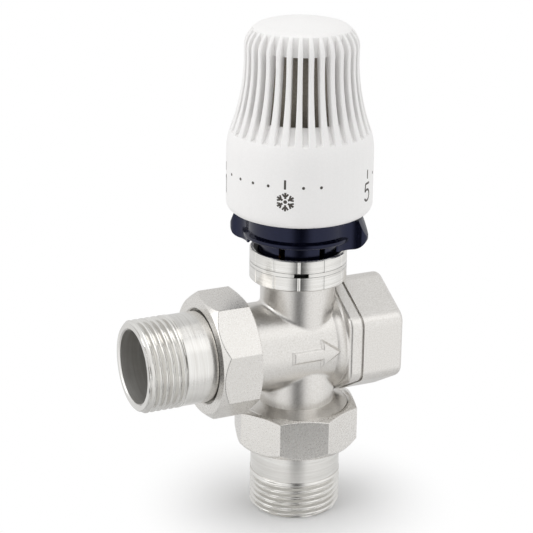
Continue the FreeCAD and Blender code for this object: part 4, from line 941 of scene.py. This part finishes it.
def white_sheet():
    """Matt by the foot; further out plain white for the camera and see-through for mirrors."""
    finish = bpy.data.materials.new("white_sheet")
    finish.use_nodes = True
    tree = finish.node_tree
    tree.nodes.clear()
    rays = add(tree, "ShaderNodeLightPath").outputs
    place = add(tree, "ShaderNodeTexCoord").outputs["Object"]
    from_foot = add(tree, "ShaderNodeVectorMath", {0: place}, operation="LENGTH").outputs["Value"]
    seen, mirrored = (add(tree, "ShaderNodeMapRange", {
        "Value": from_foot, "From Min": near * MM, "From Max": far * MM, "To Max": rays[ray]},
        interpolation_type="SMOOTHSTEP").outputs["Result"]
        for (near, far), ray in ((PAGE, "Is Camera Ray"), (MIRROR, "Is Glossy Ray")))
    matt = add(tree, "ShaderNodeBsdfDiffuse", {"Color": linear("#F4F4F4")})
    white = add(tree, "ShaderNodeEmission", {"Color": (1, 1, 1, 1), "Strength": 1.0})
    page = add(tree, "ShaderNodeMixShader", {
        0: seen, 1: matt.outputs["BSDF"], 2: white.outputs["Emission"]})
    clear = add(tree, "ShaderNodeBsdfTransparent")
    mix = add(tree, "ShaderNodeMixShader", {
        0: mirrored, 1: page.outputs["Shader"], 2: clear.outputs["BSDF"]})
    add(tree, "ShaderNodeOutputMaterial", {"Surface": mix.outputs["Shader"]})
    return finish


corners = FLOOR_HALF * np.array([(-1, -1, 0), (1, -1, 0), (1, 1, 0), (-1, 1, 0)])
sheet = bpy.data.meshes.new("floor")
sheet.from_pydata(corners.tolist(), [], [(0, 1, 2, 3)])
sheet.materials.append(white_sheet())
floor_piece = bpy.data.objects.new("floor", sheet)
floor_piece.location.z = -FLOOR_DROP * MM
scene.collection.objects.link(floor_piece)
print("floor is", 2 * FLOOR_HALF, "m wide")

# %% [markdown]
# ## Studio light
# The valve stands in a white room, lit by three soft panels: left, right and overhead. One
# upright strip of the room, behind the camera, is dark. Polished metal mirrors that: bright
# flanks with one dark stripe down the middle. The world draws this room by direction, so the
# stripe stays with the room when the camera goes round the object. Two short tables say how
# bright the room is, by the angle away from the dark strip and by the angle above the horizon.

# %% World
CAMERA_AZIMUTH, GAP_SHIFT = -25.792, 4.5
GAP_AZIMUTH = CAMERA_AZIMUTH + GAP_SHIFT
ROUND_THE_ROOM = {0: 0.06, 7: 0.12, 14: 0.4, 22: 0.82, 28: 1.0, 75: 1.0, 110: 0.85, 180: 0.7}
UP_THE_ROOM = {-90: 0.45, -40: 0.75, -22: 1.0, 35: 1.0, 60: 0.85, 90: 0.8}
ROOM_STRENGTH = 1.06


def brightness(tree, angle, table):
    """Brightness at an angle, read from a table of degrees and levels with straight runs."""
    low, high = min(table), max(table)
    share = add(tree, "ShaderNodeMapRange", {
        "Value": angle, "From Min": math.radians(low), "From Max": math.radians(high)})
    ramp = add(tree, "ShaderNodeValToRGB", {"Fac": share.outputs["Result"]})
    stops = ramp.color_ramp.elements
    for degrees, level in table.items():
        ends = {low: stops[0], high: stops[-1]}
        stop = ends.get(degrees) or stops.new((degrees - low) / (high - low))
        stop.color = (level, level, level, 1)
    return ramp.outputs["Color"]


def studio_world():
    """Radiance by direction: level round the room times level up the room, white if looked at."""
    world = bpy.data.worlds.new("studio")
    scene.world = world
    world.use_nodes = True
    tree = world.node_tree
    tree.nodes.clear()
    way = add(tree, "ShaderNodeTexCoord").outputs["Generated"]
    parts = add(tree, "ShaderNodeSeparateXYZ", {0: way})
    level = add(tree, "ShaderNodeCombineXYZ", {"X": parts.outputs["X"], "Y": parts.outputs["Y"]})
    level = add(tree, "ShaderNodeVectorMath", {0: level.outputs[0]}, operation="NORMALIZE")
    gap = math.radians(GAP_AZIMUTH)
    toward = add(tree, "ShaderNodeVectorMath", {
        0: level.outputs[0], 1: (math.sin(gap), -math.cos(gap), 0)}, operation="DOT_PRODUCT")
    turn = add(tree, "ShaderNodeMath", {0: toward.outputs["Value"]}, operation="ARCCOSINE")
    rise = add(tree, "ShaderNodeMath", {0: parts.outputs["Z"]}, operation="ARCSINE")
    room = add(tree, "ShaderNodeVectorMath", {
        0: brightness(tree, turn.outputs[0], ROUND_THE_ROOM),
        1: brightness(tree, rise.outputs[0], UP_THE_ROOM)}, operation="MULTIPLY")
    lit = add(tree, "ShaderNodeBackground", {"Color": room.outputs[0], "Strength": ROOM_STRENGTH})
    white = add(tree, "ShaderNodeBackground", {"Color": (1, 1, 1, 1), "Strength": 1.0})
    seen = add(tree, "ShaderNodeLightPath").outputs["Is Camera Ray"]
    mix = add(tree, "ShaderNodeMixShader", {
        0: seen, 1: lit.outputs["Background"], 2: white.outputs["Background"]})
    add(tree, "ShaderNodeOutputWorld", {"Surface": mix.outputs["Shader"]})
    return world


print("world is", studio_world().name)

# %% [markdown]
# The panels are square lamps. Each one is given by its azimuth and elevation in degrees, its
# distance and side in metres, and its power in watts. The weak right panel only lifts the
# flats that already mirror the bright room behind it.

# %% Panels
PANELS = {"left_panel": (-95, 35, 1.3, 0.8, 2.0), "right_panel": (42, 46, 1.3, 0.7, 0.45),
          "top_panel": (0, 90, 1.0, 0.6, 1.4)}
AIM_HEIGHT = 0.09


def panel(name, azimuth, elevation, distance, size, power):
    """A square lamp at an azimuth and elevation, aimed at the middle of the object."""
    lamp = bpy.data.lights.new(name, "AREA")
    lamp.shape = "SQUARE"
    lamp.size = size
    lamp.energy = power
    holder = bpy.data.objects.new(name, lamp)
    a, e = math.radians(azimuth), math.radians(elevation)
    holder.location = (distance * math.sin(a) * math.cos(e),
                       -distance * math.cos(a) * math.cos(e), AIM_HEIGHT + distance * math.sin(e))
    holder.rotation_euler = (math.pi / 2 - e, 0, a)
    scene.collection.objects.link(holder)
    return holder


for panel_name, setting in PANELS.items():
    panel(panel_name, *setting)
print(len(PANELS), "panels lit")

# %% [markdown]
# ## Camera
# The camera's place, tilt and lens were worked out from the valve's own edges in the
# photograph: the pipe thread's size sets the scale, and the round and six-sided ends set the
# angle. A long lens from about 0.7 m away keeps the perspective gentle.

# %% Camera
CAMERA_PLACE, LENS, SENSOR = (-0.291059, -0.576380, 0.320419), 128.956, 36.0
CAMERA_ELEVATION, CAMERA_ROLL = 19.4705, 0.7056
camera_data = bpy.data.cameras.new("camera")
camera_data.sensor_width = SENSOR
camera_data.sensor_fit = "HORIZONTAL"
camera_data.lens = LENS
camera = bpy.data.objects.new("camera", camera_data)
camera.location = CAMERA_PLACE
a, e, r = (math.radians(v) for v in (CAMERA_AZIMUTH, CAMERA_ELEVATION, CAMERA_ROLL))
tilted = Matrix.Rotation(math.pi / 2 - e, 3, "X") @ Matrix.Rotation(r, 3, "Z")
camera.rotation_euler = (Matrix.Rotation(a, 3, "Z") @ tilted).to_euler()
scene.collection.objects.link(camera)
scene.camera = camera
scene.view_settings.view_transform = "Standard"
print("camera at", [round(v, 3) for v in camera.location])
